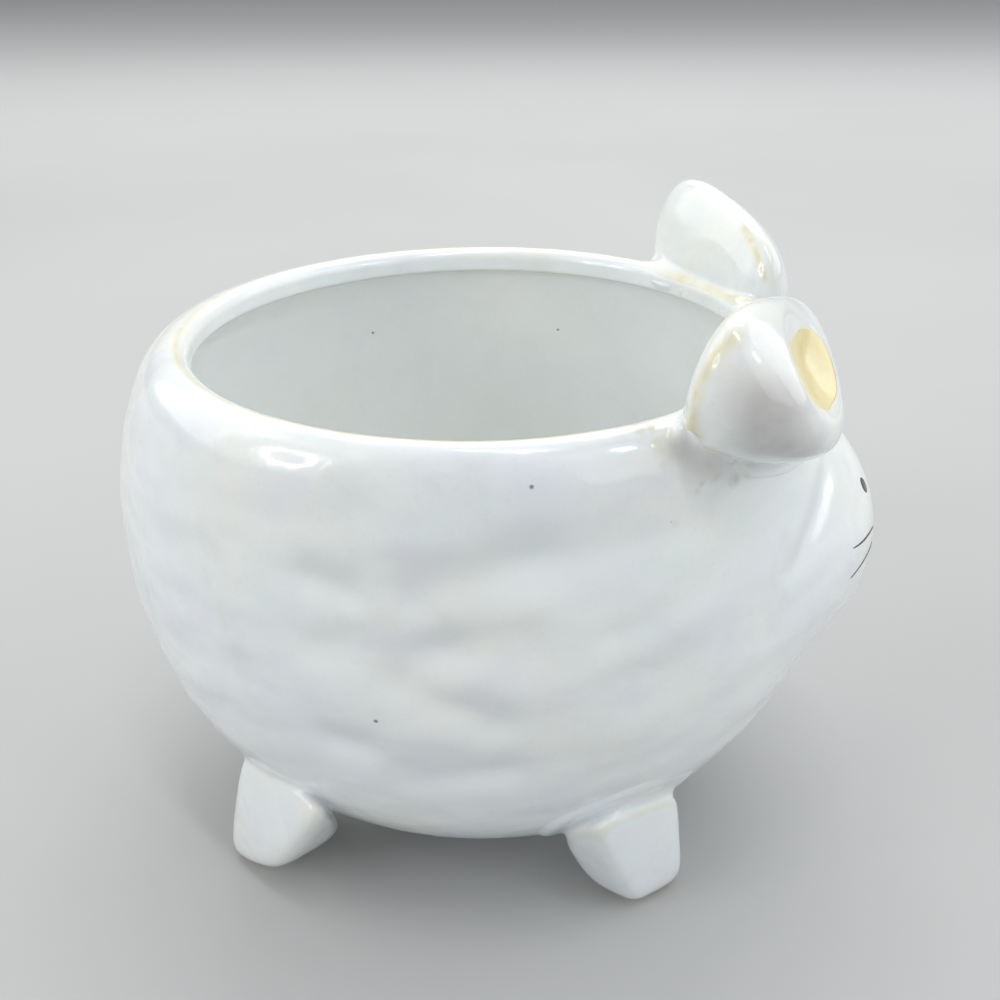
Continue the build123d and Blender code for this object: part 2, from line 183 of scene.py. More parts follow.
# ---------------------------------------------------------------------------
# mesh helpers
# ---------------------------------------------------------------------------
def to_part(p):
    """Bowl axes in millimetres to the part's frame in metres."""
    p = np.array(p, float)
    p[..., 0] -= X_MID
    return p * MM


def add_mesh(name, verts_m, faces, attrs=None, smooth=True):
    me = bpy.data.meshes.new(name)
    faces = np.asarray(faces)
    n, k = faces.shape
    me.vertices.add(len(verts_m))
    me.vertices.foreach_set("co", np.asarray(verts_m, np.float32).ravel())
    me.loops.add(n * k)
    me.loops.foreach_set("vertex_index", faces.astype(np.int32).ravel())
    me.polygons.add(n)
    me.polygons.foreach_set("loop_start", np.arange(0, n * k, k, dtype=np.int32))
    me.update(calc_edges=True)
    me.validate()
    if smooth:
        me.polygons.foreach_set("use_smooth", np.ones(len(me.polygons), bool))
    for key, values in (attrs or {}).items():
        a = me.attributes.new(key, "FLOAT", "POINT")
        a.data.foreach_set("value", np.asarray(values, np.float32))
    me.update()
    o = bpy.data.objects.new(name, me)
    bpy.context.scene.collection.objects.link(o)
    return o


def noise3(p_mm, size, offset=0.0):
    """Smooth noise in about -1..1. size is the millimetres per cell, one number or one per axis."""
    q = np.asarray(p_mm, float) / np.asarray(size, float) + np.array([offset, -offset, 0.37 * offset])
    out = np.empty(len(q))
    for i, v in enumerate(q.tolist()):
        out[i] = noise.noise(Vector(v))
    return out


def segment_distance(p, a, b):
    a, b = np.asarray(a, float), np.asarray(b, float)
    d = b - a
    t = np.clip(((p - a) @ d) / max(d @ d, 1e-9), 0, 1)
    return np.linalg.norm(p - (a + t[:, None] * d), axis=1)


def line_distance(p, line):
    """Distance to a polyline and how far along it the nearest point is, 0 to 1."""
    best, along = np.full(len(p), 1e9), np.zeros(len(p))
    line = np.asarray(line, float)
    for k in range(len(line) - 1):
        d = line[k + 1] - line[k]
        t = np.clip(((p - line[k]) @ d) / max(d @ d, 1e-9), 0, 1)
        dist = np.linalg.norm(p - (line[k] + t[:, None] * d), axis=1)
        m = dist < best
        best = np.where(m, dist, best)
        along = np.where(m, (k + t) / (len(line) - 1), along)
    return best, along


def ramp(x, a, b):
    t = np.clip((x - a) / (b - a), 0, 1)
    return t * t * (3 - 2 * t)


def grid_normals(p):
    """Normals of a grid of points that wraps both ways, outward by orientation du x dv."""
    du = np.roll(p, -1, 1) - np.roll(p, 1, 1)
    dv = np.roll(p, -1, 0) - np.roll(p, 1, 0)
    n = np.cross(du, dv)
    return n / np.maximum(np.linalg.norm(n, axis=-1, keepdims=True), 1e-9)


# ---------------------------------------------------------------------------
# bowl: one closed skin, outside, lip, inside and drain hole
# ---------------------------------------------------------------------------
N_T = 512
T = np.linspace(0, 2 * math.pi, N_T + 1)[:-1]
rows_r, rows_z, rows_edge, rows_in = [], [], [], []


def row(r, z, edge=0.0, inside=0.0):
    rows_r.append(np.broadcast_to(r, T.shape).astype(float))
    rows_z.append(np.broadcast_to(z, T.shape).astype(float))
    rows_edge.append(edge)
    rows_in.append(inside)


scale_rows = 1.0
ROUND = 0.7
# underside, from the drain hole outwards
for a in np.linspace(0, math.pi / 2, 6)[1:]:
    row(DRAIN_R + ROUND * (1 - math.cos(a)), BELLY_HEIGHT + ROUND * (1 - math.sin(a)))
side_flat = BELLY_FLAT * SIDE[1] / FRONT[1]
flat_edge = oval(T, BELLY_FLAT, BELLY_FLAT, side_flat)
for f in np.linspace(0, 1, 16)[1:-1]:
    row((DRAIN_R + ROUND) * (1 - f) + flat_edge * f, BELLY_HEIGHT)
# side
z_roll = RIM_HEIGHT - SHOULDER_DROP
for z in even_levels(BELLY_HEIGHT, z_roll, int(170 * scale_rows), 0.0)[:-1]:
    row(outer_radius(T, z), z)
# shoulder rolling up to the crest
r0 = outer_radius(T, z_roll)
slope = (outer_radius(T, z_roll) - outer_radius(T, z_roll - 0.5)) / 0.5
r1 = crest_radius(T)
m0 = 1.25 * SHOULDER_DROP
m1 = 1.55 * (r0 - r1)
n_sh = int(40 * scale_rows)
for i in range(n_sh + 1):
    w = i / n_sh
    h00, h10 = 2 * w ** 3 - 3 * w ** 2 + 1, w ** 3 - 2 * w ** 2 + w
    h01, h11 = -2 * w ** 3 + 3 * w ** 2, w ** 3 - w ** 2
    d = (1 - w) * 11.0
    row(h00 * r0 + h10 * slope * m0 + h01 * r1 - h11 * m1, h00 * z_roll + h10 * m0 + h01 * RIM_HEIGHT,
        edge=max(math.exp(-((d + 0.35) / 0.50) ** 2), 0.22 * math.exp(-(d / 1.4) ** 2)))
# the lip rolls over into its inner face
n_l = int(22 * scale_rows)
for i in range(1, n_l + 1):
    a = 0.5 * math.pi * i / n_l
    row(r1 - LIP_HALF * math.sin(a), RIM_HEIGHT - LIP_HALF * (1 - math.cos(a)),
        edge=max(math.exp(-((LIP_HALF * a - 0.35) / 0.62) ** 2), 0.22 * math.exp(-(LIP_HALF * a / 1.4) ** 2)),
        inside=0.15)
r_face = r1 - LIP_HALF
CORNER = 0.8
for f in np.linspace(0, 1, 8)[1:]:
    row(r_face, RIM_HEIGHT - LIP_HALF - f * (LIP_DROP - LIP_HALF - CORNER), inside=0.3)
for i in range(1, 8):
    a = 0.5 * math.pi * i / 7
    row(r_face + CORNER * (1 - math.cos(a)), RIM_HEIGHT - LIP_DROP + CORNER * (1 - math.sin(a)),
        edge=0.55 * math.sin(a), inside=0.5 + 0.3 * i / 7)
# undercut below the lip, then the inner wall
inner_top = RIM_HEIGHT - LIP_DROP - 6.0
ra, za = r_face + CORNER, RIM_HEIGHT - LIP_DROP
rb, zb = inner_radius(T, inner_top), inner_top
islope = (inner_radius(T, inner_top) - inner_radius(T, inner_top - 1.0))
n_u = int(26 * scale_rows)
for i in range(1, n_u + 1):
    w = i / n_u
    h00, h10 = 2 * w ** 3 - 3 * w ** 2 + 1, w ** 3 - 2 * w ** 2 + w
    h01, h11 = -2 * w ** 3 + 3 * w ** 2, w ** 3 - w ** 2
    row(h00 * ra + h10 * 3.2 + h01 * rb + h11 * (-islope) * 7.0, h00 * za + h10 * (-0.4) + h01 * zb + h11 * (-7.0),
        inside=1.0)
floor_z = BELLY_HEIGHT + FLOOR
for z in even_levels(floor_z, inner_top, int(130 * scale_rows), WALL)[::-1][1:]:
    row(inner_radius(T, z), z, inside=1.0)
flat = BELLY_FLAT - 2.0
in_edge = oval(T, flat, flat, flat * SIDE[1] / FRONT[1])
for f in np.linspace(0, 1, 14)[1:]:
    row(in_edge * (1 - f) + (DRAIN_R + ROUND) * f, floor_z, inside=1.0)
for a in np.linspace(math.pi / 2, 0, 6)[1:]:
    row(DRAIN_R + ROUND * (1 - math.cos(a)), floor_z - ROUND * (1 - math.sin(a)), inside=1.0)
for f in np.linspace(0, 1, 6)[1:-1]:
    row(DRAIN_R, (floor_z - ROUND) * (1 - f) + (BELLY_HEIGHT + ROUND) * f, inside=1.0)

R, Z = np.array(rows_r), np.array(rows_z)
bowl = np.stack([R * np.cos(T), R * np.sin(T), Z], -1)
# the rows at the drain hole stay round about the part's own axis
near_hole = np.clip((np.hypot(bowl[..., 0], bowl[..., 1]) - 7.0) / 14.0, 0, 1)
bowl[..., 0] += X_MID * (1 - near_hole ** 2 * (3 - 2 * near_hole)) * (R < 21.0)
rows = len(bowl)
nrm = grid_normals(bowl)
flat_pts = bowl.reshape(-1, 3)
# soft finger waves, longer along the belly than up it, and shallow dents
lean = flat_pts.copy()
lean[:, 2] -= 0.25 * lean[:, 0]
w1 = noise3(lean, (15.0, 15.0, 6.2), 3.1)
w2 = noise3(flat_pts, 22.0, 7.7)
w3 = noise3(flat_pts, (6.0, 6.0, 3.6), 1.9)
belly = ramp(flat_pts[:, 2], 14.0, 30.0) * ramp(-flat_pts[:, 2], -90.0, -78.0)
wave = (0.30 + 0.70 * belly) * (0.21 * np.clip(0.5 - 0.5 * w1 / 0.75, 0, 1) + 0.16 * np.clip(0.5 - 0.5 * w2 / 0.75, 0, 1)
                                + 0.05 * np.clip(0.5 - 0.5 * w3 / 0.75, 0, 1))
outside = (np.repeat(np.array(rows_in)[:, None], N_T, 1).ravel() < 0.05)
dent = np.zeros(len(flat_pts))
for a, b, width, deep in DENTS:
    d = segment_distance(flat_pts, a, b)
    dent += 1.7 * deep * np.exp(-(d / width) ** 2)
for side_y in (1.0, -1.0):
    d, along = line_distance(flat_pts, [(x, y * side_y, z) for x, y, z in FACE_VALLEY])
    fade = np.sin(math.pi * np.clip(0.08 + along * 0.92, 0, 1)) ** 0.6
    dent += 0.34 * fade * np.exp(-(d / 1.8) ** 2)
wave = wave + dent * outside
wave = wave.reshape(rows, N_T)
run = np.sqrt((np.gradient(bowl, axis=0) ** 2).sum(-1))
# the tilt of each dent's wall sets a painted shade on its upper wall and a painted light on its lower wall
tilt = np.gradient(wave, axis=0) / np.maximum(run, 0.05) * outside.reshape(rows, N_T)
bowl = bowl - nrm * wave[..., None]
edge_attr = np.repeat(np.array(rows_edge)[:, None], N_T, 1)
in_attr = np.repeat(np.array(rows_in)[:, None], N_T, 1)

i, j = np.meshgrid(np.arange(rows), np.arange(N_T), indexing="ij")
i2, j2 = (i + 1) % rows, (j + 1) % N_T
quads = np.stack([i * N_T + j, i * N_T + j2, i2 * N_T + j2, i2 * N_T + j], -1).reshape(-1, 4)
bowl_pts = bowl.reshape(-1, 3)
BOWL_BVH = BVHTree.FromPolygons([tuple(p) for p in bowl_pts.tolist()], quads.tolist(), all_triangles=False)
skin_rows = int(np.argmax(np.array(rows_in) > 0.2))
skin = quads[:(skin_rows - 1) * N_T]
SKIN_BVH = BVHTree.FromPolygons([tuple(p) for p in bowl_pts[:skin_rows * N_T].tolist()], skin.tolist(), all_triangles=False)
# two of the bowl's attributes carry painted shade for the upper walls of its dents and painted light for their lower
# walls
pot = add_mesh("planter_bowl", to_part(bowl_pts), quads,
               {"edge": edge_attr.ravel(), "inside": in_attr.ravel(),
                "painted_shade": np.clip(-tilt / 0.10, 0, 1).ravel(), "painted_light": np.clip(tilt / 0.10, 0, 1).ravel()})
print("bowl rows", rows, "around", N_T)


# ---------------------------------------------------------------------------
# ears and feet: distance fields, joined softly to the bowl, then meshed
# ---------------------------------------------------------------------------
def planes(p, centre, faces, k):
    q = p - np.asarray(centre, float)
    f = np.asarray(faces, float)
    v = q @ f[:, :3].T - f[:, 3]
    m = v.max(-1)
    return m + np.log(np.exp(k * (v - m[..., None])).sum(-1)) / k


def body_distance(p):
    """Signed distance to the bowl's outer skin, negative below it."""
    out = np.empty(len(p))
    find = SKIN_BVH.find_nearest
    for n, q in enumerate(p.tolist()):
        v = Vector(q)
        co, no, _, dist = find(v)
        out[n] = dist if (v - co).dot(no) >= 0 else -dist
    return out


def ellipsoid(p, centre, axis_n, radius, depth_radius):
    q = p - np.asarray(centre, float)
    n = np.asarray(axis_n, float)
    n = n / np.linalg.norm(n)
    h = q @ n
    w = np.linalg.norm(q - h[..., None] * n, axis=-1)
    k0 = np.sqrt((w / radius) ** 2 + (h / depth_radius) ** 2)
    k1 = np.sqrt((w / radius ** 2) ** 2 + (h / depth_radius ** 2) ** 2)
    return np.where(k1 > 1e-6, k0 * (k0 - 1.0) / np.maximum(k1, 1e-6), -depth_radius)


def ear_values(p):
    q = p - np.asarray(EAR_C, float)
    f = np.asarray(EAR_FACES, float)
    return q @ f[:, :3].T - f[:, 3]


def ear_solid(p):
    f = planes(p, EAR_C, EAR_FACES, EAR_K) + 0.07
    t = np.arctan2(p[..., 1], p[..., 0])
    lip = crest_radius(t) - EAR_IN_LIP - np.hypot(p[..., 0], p[..., 1])
    f = smooth_max(f, lip, 1.2)
    dish = -ellipsoid(p, DISH_C, DISH_N, DISH_R, DISH_DEPTH_R)
    return smooth_max(f, dish, 1.2)


def ear_field(p, solid, body):
    """Ear and bowl joined by a small fillet, lumpier at the rear, with a ribbon of slip along the underside."""
    x, y, z = p[..., 0], p[..., 1], p[..., 2]
    rear = np.exp(-((x - 30.5) ** 2 + (y + 42.5) ** 2 + (z - 90.5) ** 2) / 7.0 ** 2)
    flow = np.exp(-((x - 37.0) ** 2 + (y + 41.0) ** 2 + (z - 88.0) ** 2) / 7.0 ** 2)
    ribbon = ramp(-z, -91.0, -87.0) * ramp(-y, 0.0, 8.0) * ramp(x, 37.0, 43.5)
    k = (1.2 + 1.6 * rear + 4.0 * flow) * (1.0 - ribbon) + 0.45 * ribbon
    dive = 0.30 * ramp(solid - k, 0.1, 1.4)
    bead = np.hypot(solid - 0.95, body + 0.1) - 1.25 * ribbon + 1.6 * (1.0 - ribbon)
    skin = smooth_min(body + 0.03 + dive, bead, 0.8)
    lumps = np.zeros_like(solid)
    at = (rear > 0.08) & (np.abs(solid) < 4.5)
    lumps[at] = 0.75 * rear[at] * noise3(p[at], 3.0, 4.1)
    f = smooth_min(solid, skin, k) - lumps * ramp(body, -0.2, 1.0) * ramp(-solid, -3.0, -0.5)
    inward = crest_radius(np.arctan2(y, x)) - np.hypot(x, y)
    return np.maximum(f + 0.25 * ramp(inward, 1.9, 2.5), inward - 2.7)


def soft_top(v, k):
    m = v.max(-1)
    return m + np.log(np.exp(k * (v - m[..., None])).sum(-1)) / k


def foot_solid(centre, faces, k, crisp, crisp_k):
    """Rounded block standing on z = 0. The edges between the crisp faces are sharper than the rest."""
    faces = np.asarray(faces, float)
    crisp = list(crisp)
    rest = [n for n in range(len(faces)) if n not in crisp]

    def solid(p):
        q = p - np.asarray(centre, float)
        v = q @ faces[:, :3].T - faces[:, 3]
        first = soft_top(v[..., crisp], crisp_k)
        f = soft_top(np.concatenate([first[..., None], v[..., rest]], -1), k)
        return smooth_max(f, -p[..., 2], 0.9)
    return solid


def foot_field_for(centre, faces, hidden, flare, lip_at, lip_r):
    """Foot and belly joined crisply on the outer faces. The hidden inner faces flare out, to a lip of slip."""
    faces = np.asarray(faces, float)
    hidden = list(hidden)
    shown = [n for n in range(4) if n not in hidden]

    def field(p, solid, body):
        q = p - np.asarray(centre, float)
        v = q @ faces[:, :3].T - faces[:, 3]
        near = ramp(v[..., hidden].max(-1) - v[..., shown].max(-1), -1.5, 1.5)
        k = 0.9 + (flare - 0.9) * near
        f = smooth_min(solid, body + 0.03 + 0.30 * ramp(solid - k, 0.1, 1.4), k)
        if lip_r:
            lip = np.hypot(solid - lip_at, body + 0.15) - lip_r * near + 1.5 * (1.0 - near)
            f = smooth_min(f, lip, 0.7)
        return f
    return field


CORNERS = [(a, b, c) for a in (0, 1) for b in (0, 1) for c in (0, 1)]


def surface_nets(g):
    """Closed quad mesh of the zero level of a grid of values, in grid units."""
    s = g < 0
    nx, ny, nz = g.shape
    count = np.zeros((nx - 1, ny - 1, nz - 1), int)
    for a, b, c in CORNERS:
        count += s[a:nx - 1 + a, b:ny - 1 + b, c:nz - 1 + c]
    mixed = (count > 0) & (count < 8)
    index = -np.ones(mixed.shape, int)
    index[mixed] = np.arange(mixed.sum())
    cells = np.argwhere(mixed)
    acc, num = np.zeros((len(cells), 3)), np.zeros(len(cells))
    for a in CORNERS:
        for axis in range(3):
            if a[axis]:
                continue
            b = list(a)
            b[axis] = 1
            ga = g[cells[:, 0] + a[0], cells[:, 1] + a[1], cells[:, 2] + a[2]]
            gb = g[cells[:, 0] + b[0], cells[:, 1] + b[1], cells[:, 2] + b[2]]
            cross = (ga < 0) != (gb < 0)
            t = np.where(cross, ga / np.where(cross, ga - gb, 1.0), 0.0)
            pos = np.array(a, float) + t[:, None] * (np.array(b, float) - np.array(a, float))
            acc[cross] += pos[cross]
            num[cross] += 1
    verts = cells + acc / num[:, None]
    faces = []
    for axis in range(3):
        u, v = (axis + 1) % 3, (axis + 2) % 3
        lo = np.take(s, np.arange(g.shape[axis] - 1), axis)
        hi = np.take(s, np.arange(1, g.shape[axis]), axis)
        where = np.argwhere(lo != hi)
        where = where[(where[:, u] > 0) & (where[:, v] > 0)
                      & (where[:, u] < g.shape[u] - 1) & (where[:, v] < g.shape[v] - 1)]
        inside_first = lo[tuple(where.T)]
        ring = []
        for du, dv in ((-1, -1), (0, -1), (0, 0), (-1, 0)):
            c = where.copy()
            c[:, u] += du
            c[:, v] += dv
            ring.append(index[tuple(c.T)])
        q = np.stack(ring, -1)
        q[~inside_first] = q[~inside_first][:, ::-1]
        faces.append(q)
    return verts, np.concatenate(faces)


def tidy_grid(g):
    """Grid whose zero level is closed: positive borders, no lone points and no squares pinched at a diagonal."""
    g = g.copy()
    for axis in range(3):
        for end in (0, -1):
            side = np.moveaxis(g, axis, 0)[end]
            side[...] = np.maximum(side, 0.05)
    for _ in range(2):
        below = (g < 0).astype(int)
        around = sum(np.roll(below, step, axis) for axis in range(3) for step in (-1, 1))
        g[(below == 1) & (around < 2)] = 0.02
    for _ in range(3):
        for axis in range(3):
            w = np.moveaxis(g, axis, 0)
            a, b, c, d = w[1:-1, 1:-2, 1:-2], w[1:-1, 2:-1, 2:-1], w[1:-1, 2:-1, 1:-2], w[1:-1, 1:-2, 2:-1]
            c[(a < 0) & (b < 0) & (c >= 0) & (d >= 0)] = -0.02
            a[(a >= 0) & (b >= 0) & (c < 0) & (d < 0)] = -0.02
    return g


def main_part(verts, faces):
    """The largest connected piece of a mesh, without stray specks."""
    label = np.arange(len(verts))
    while True:
        low = np.repeat(label[faces].min(1), faces.shape[1])
        new = label.copy()
        np.minimum.at(new, faces.ravel(), low)
        new = new[new]
        if (new == label).all():
            break
        label = new
    of_face = label[faces[:, 0]]
    faces = faces[of_face == np.bincount(of_face).argmax()]
    used = np.unique(faces)
    index = np.full(len(verts), -1)
    index[used] = np.arange(len(used))
    return verts[used], index[faces]


def trilinear(g, v):
    i0 = np.clip(np.floor(v).astype(int), 0, np.array(g.shape) - 2)
    f = v - i0
    out = 0.0
    for a, b, c in CORNERS:
        w = (f[:, 0] if a else 1 - f[:, 0]) * (f[:, 1] if b else 1 - f[:, 1]) * (f[:, 2] if c else 1 - f[:, 2])
        out = out + w * g[i0[:, 0] + a, i0[:, 1] + b, i0[:, 2] + c]
    return out


def build_lobe(lo, hi, h, solid_of, field_of, reach):
    """Mesh of a lobe on the bowl. Returns points (mm), quads, curvature and distance to the bowl."""
    lo, hi = np.asarray(lo, float), np.asarray(hi, float)
    n = np.ceil((hi - lo) / h).astype(int) + 1
    axes = [lo[k] + h * np.arange(n[k]) for k in range(3)]
    p = np.stack(np.meshgrid(*axes, indexing="ij"), -1)
    solid = solid_of(p)
    flat = p.reshape(-1, 3)
    s = solid.ravel()
    band = (s < reach + 0.9) & ((s > -2.5) | (flat[:, 2] > BELLY_HEIGHT - 1.0))
    body = np.full(len(flat), 9.0)
    body[band] = body_distance(flat[band])
    body = body.reshape(solid.shape)
    g = np.where(band.reshape(solid.shape), field_of(p, solid, body), solid)
    cut = np.maximum(solid - reach, -(body + 2.2))
    g = np.maximum(g, np.where(band.reshape(solid.shape), cut, solid - reach))
    g = tidy_grid(g)
    verts, faces = main_part(*surface_nets(g))
    grad = np.stack(np.gradient(g), -1)
    lap = np.zeros_like(g)
    for k in range(3):
        lap += np.gradient(np.gradient(g, axis=k), axis=k)
    # relax, then pull back on to the surface
    nbr_sum = np.zeros_like(verts)
    edges = np.concatenate([faces[:, [0, 1]], faces[:, [1, 2]], faces[:, [2, 3]], faces[:, [3, 0]]])
    edges = np.unique(np.sort(edges, 1), axis=0)
    deg = np.bincount(edges.ravel(), minlength=len(verts))[:, None]
    for it in range(6):
        nbr_sum[:] = 0
        np.add.at(nbr_sum, edges[:, 0], verts[edges[:, 1]])
        np.add.at(nbr_sum, edges[:, 1], verts[edges[:, 0]])
        verts = 0.45 * verts + 0.55 * nbr_sum / deg
        for _ in range(2):
            val = trilinear(g, verts)
            gr = np.stack([trilinear(grad[..., k], verts) for k in range(3)], -1)
            step = val[:, None] * gr / np.maximum((gr ** 2).sum(-1, keepdims=True), 1e-3)
            verts = verts - np.clip(step, -0.7, 0.7)
    # last step with the exact values
    for _ in range(2):
        pts = lo + verts * h
        sv = solid_of(pts)
        bv = body_distance(pts)
        exact = field_of(pts, sv, bv)
        cutv = np.maximum(sv - reach, -(bv + 2.2))
        val = np.maximum(exact, cutv)
        gr = np.stack([trilinear(grad[..., k], verts) for k in range(3)], -1) / h
        step = val[:, None] * gr / np.maximum((gr ** 2).sum(-1, keepdims=True), 0.05)
        verts = verts - np.clip(step, -0.3, 0.3) / h * (exact > cutv)[:, None]
    gl = np.sqrt(np.maximum((gr ** 2).sum(-1), 0.05))
    curv = trilinear(lap, verts) / (h * h) / gl
    for _ in range(4):
        nb = np.zeros(len(verts))
        np.add.at(nb, edges[:, 0], curv[edges[:, 1]])
        np.add.at(nb, edges[:, 1], curv[edges[:, 0]])
        curv = 0.5 * curv + 0.5 * nb / deg[:, 0]
    return lo + verts * h, faces, curv, bv, sv


H_EAR = 0.42
ear_pts, ear_quads, ear_curv, ear_body, ear_sv = build_lobe(
    (22, -56, 76), (64, -4, 114), H_EAR, ear_solid, ear_field, 4.6)
rear_solid = foot_solid(REAR_FOOT_C, REAR_FOOT_FACES, REAR_FOOT_K, REAR_CRISP, REAR_CRISP_K)
front_solid = foot_solid(FRONT_FOOT_C, FRONT_FOOT_FACES, FRONT_FOOT_K, FRONT_CRISP, FRONT_CRISP_K)
rear_pts, rear_quads, rear_curv, rear_body, rear_sv = build_lobe(
    (-56, -56, -2), (-2, -8, 41), H_EAR, rear_solid, foot_field_for(REAR_FOOT_C, REAR_FOOT_FACES, (1,), 4.0, 0.0, 0.0), 5.2)
front_pts, front_quads, front_curv, front_body, front_sv = build_lobe(
    (4, -56, -2), (48, -6, 38), H_EAR, front_solid, foot_field_for(FRONT_FOOT_C, FRONT_FOOT_FACES, (1, 5), 2.6, 1.9, 0.60), 4.6)
print("ear", len(ear_pts), "rear foot", len(rear_pts), "front foot", len(front_pts))


def lobe_pair(names, pts, faces, attrs, nodes):
    made = []
    for name, node, left in zip(names, nodes, (False, True)):
        q = pts.copy()
        f = faces
        if left:
            q[:, 1] *= -1
            f = faces[:, ::-1]
        o = add_mesh(name, to_part(q), f, attrs)
        made.append(o)
        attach(o, "root")
        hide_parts(node)
    return made


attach(pot, "root")
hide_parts("pot_body")
mirrored = bowl_pts.copy()
mirrored[:, 1] = -np.abs(mirrored[:, 1])
high = (mirrored[:, 2] > 80) & (mirrored[:, 0] > 15)
gap = np.full(len(mirrored), 9.0)
gap[high] = ear_solid(mirrored[high])
crease_b = np.exp(-(np.clip(gap, 0, 9) / 0.8) ** 2) * ramp(mirrored[:, 2], 89.0, 92.5)
drift = np.clip(0.76 + 0.45 * noise3(bowl_pts, 24.0, 5.3), 0.42, 1.0)
edge_all = np.maximum(edge_attr.ravel() * drift, 0.62 * crease_b)
pot.data.attributes["edge"].data.foreach_set("value", edge_all.astype(np.float32))

ev = ear_values(ear_pts)
top = ev.max(1)
rear_ridge = np.exp(-((ev[:, 0] - ev[:, 1]) / 1.7) ** 2) * ramp(np.minimum(ev[:, 0], ev[:, 1]) - top, -3.5, -1.0) \
    * ramp(ear_pts[:, 2], 91.0, 95.0)
cream = np.zeros(len(ear_pts))
for line in EAR_CREAM:
    d, _ = line_distance(ear_pts, line)
    cream = np.maximum(cream, np.exp(-(d / 0.75) ** 2))
medial = ramp(ear_pts[:, 1] + 0.35 * ear_pts[:, 0], -24.0, -18.0)
crease = np.exp(-((ear_body - 0.15) / 0.34) ** 2) * ramp(ear_pts[:, 2], 88.0, 92.0) * (0.25 + 0.75 * medial)
ear_edge = np.clip(np.maximum.reduce([0.9 * rear_ridge, cream, 0.8 * crease,
                                      0.5 * ramp(ear_curv, 0.34, 0.7) * ramp(ear_body, 0.6, 2.0)]), 0, 1)
ears = lobe_pair(("ear_right", "ear_left"), ear_pts, ear_quads,
                 {"edge": ear_edge, "inside": np.zeros(len(ear_pts))}, ("right_ear", "left_ear"))
rear_edge = np.maximum(0.25 * ramp(rear_curv, 0.34, 0.7) * ramp(rear_body, 0.5, 2.0), 0.8 * ramp(-rear_pts[:, 2], -4.0, -0.6))
rear_feet = lobe_pair(("rear_right_leg", "rear_left_leg"), rear_pts, rear_quads,
                      {"edge": rear_edge, "inside": np.zeros(len(rear_pts)),
                       "bare": ramp(-rear_pts[:, 2], -0.9, -0.25)}, ("rear_right_foot", "rear_left_foot"))
front_edge = np.maximum(0.35 * ramp(front_curv, 0.34, 0.7) * ramp(front_body, 0.5, 2.0), 0.8 * ramp(-front_pts[:, 2], -4.0, -0.6))
front_feet = lobe_pair(("front_right_leg", "front_left_leg"), front_pts, front_quads,
                       {"edge": front_edge, "inside": np.zeros(len(front_pts)),
                        "bare": ramp(-front_pts[:, 2], -0.9, -0.25)}, ("front_right_foot", "front_left_foot"))


# ---------------------------------------------------------------------------
# fired-on colour: thin domed layers that follow the glaze below them
# ---------------------------------------------------------------------------
def dropped(bvh, points, direction):
    """Points and normals where rays in a direction meet a skin."""
    d = Vector(direction).normalized()
    co, no = [], []
    for q in np.asarray(points, float).tolist():
        hit = bvh.ray_cast(Vector(q), d)
        if hit[0] is None:
            hit = bvh.find_nearest(Vector(q) + d * 30.0)
        co.append(hit[0][:])
        no.append(hit[1][:])
    return np.array(co), np.array(no)


def layer(name, bvh, grid, height, direction, wrap, under=0.06):
    """Closed thin mesh over a grid of start points. height is per point, in mm."""
    nu, nv = grid.shape[:2]
    co, no = dropped(bvh, grid.reshape(-1, 3), direction)
    # smooth the skin's facets away
    no = no.reshape(nu, nv, 3)
    for _ in range(3):
        pad = np.pad(no, ((1, 1), (0, 0), (0, 0)), mode="edge")
        pad2 = np.pad(no, ((0, 0), (1, 1), (0, 0)), mode="wrap" if wrap else "edge")
        no = no + pad[:-2] + pad[2:] + pad2[:, :-2] + pad2[:, 2:]
        no /= np.linalg.norm(no, axis=-1, keepdims=True)
    no = no.reshape(-1, 3)
    top = co + no * height.reshape(-1, 1)
    bot = co - no * under
    n = nu * nv
    idx = np.arange(n).reshape(nu, nv)
    f = []
    cols = nv if wrap else nv - 1
    for a in range(nu - 1):
        for b in range(cols):
            b2 = (b + 1) % nv
            q = (idx[a, b], idx[a + 1, b], idx[a + 1, b2], idx[a, b2])
            f.append(q)
            f.append(tuple(n + v for v in q[::-1]))
    rims = []
    if wrap:
        rims.append([idx[nu - 1, b] for b in range(nv)] + [idx[nu - 1, 0]])
        # the small hole in the middle is closed with a fan (nv is even)
        for b in range(1, nv - 2, 2):
            q = (idx[0, 0], idx[0, b], idx[0, b + 1], idx[0, b + 2])
            f.append(q)
            f.append(tuple(n + v for v in q[::-1]))
    else:
        loop = ([idx[a, 0] for a in range(nu)][::-1] + [idx[0, b] for b in range(1, nv)]
                + [idx[a, nv - 1] for a in range(1, nu)] + [idx[nu - 1, b] for b in range(nv - 1)][::-1])
        rims.append(loop[::-1])
    for loop in rims:
        for a, b in zip(loop[:-1], loop[1:]):
            f.append((a, a + n, b + n, b))
    return np.concatenate([top, bot]), np.array(f)


def orient(pts, faces, direction):
    """Turns all faces if the top layer points along the rays instead of against them."""
    a, b, c = (pts[faces[0][k]] for k in (0, 1, 2))
    nn = np.cross(b - a, c - a)
    return faces[:, ::-1] if nn @ np.asarray(direction, float) > 0 else faces


def disc_grid(centre, axis_u, axis_v, radius_of, rings, spokes):
    out, rel = [], []
    for a in range(rings + 1):
        rho = 0.02 + 0.98 * (a / rings) ** 0.8
        line = []
        for b in range(spokes):
            phi = 2 * math.pi * b / spokes
            r = radius_of(phi) * rho
            line.append(np.asarray(centre) + np.asarray(axis_u) * r * math.cos(phi) + np.asarray(axis_v) * r * math.sin(phi))
        out.append(line)
        rel.append([rho] * spokes)
    return np.array(out), np.array(rel)


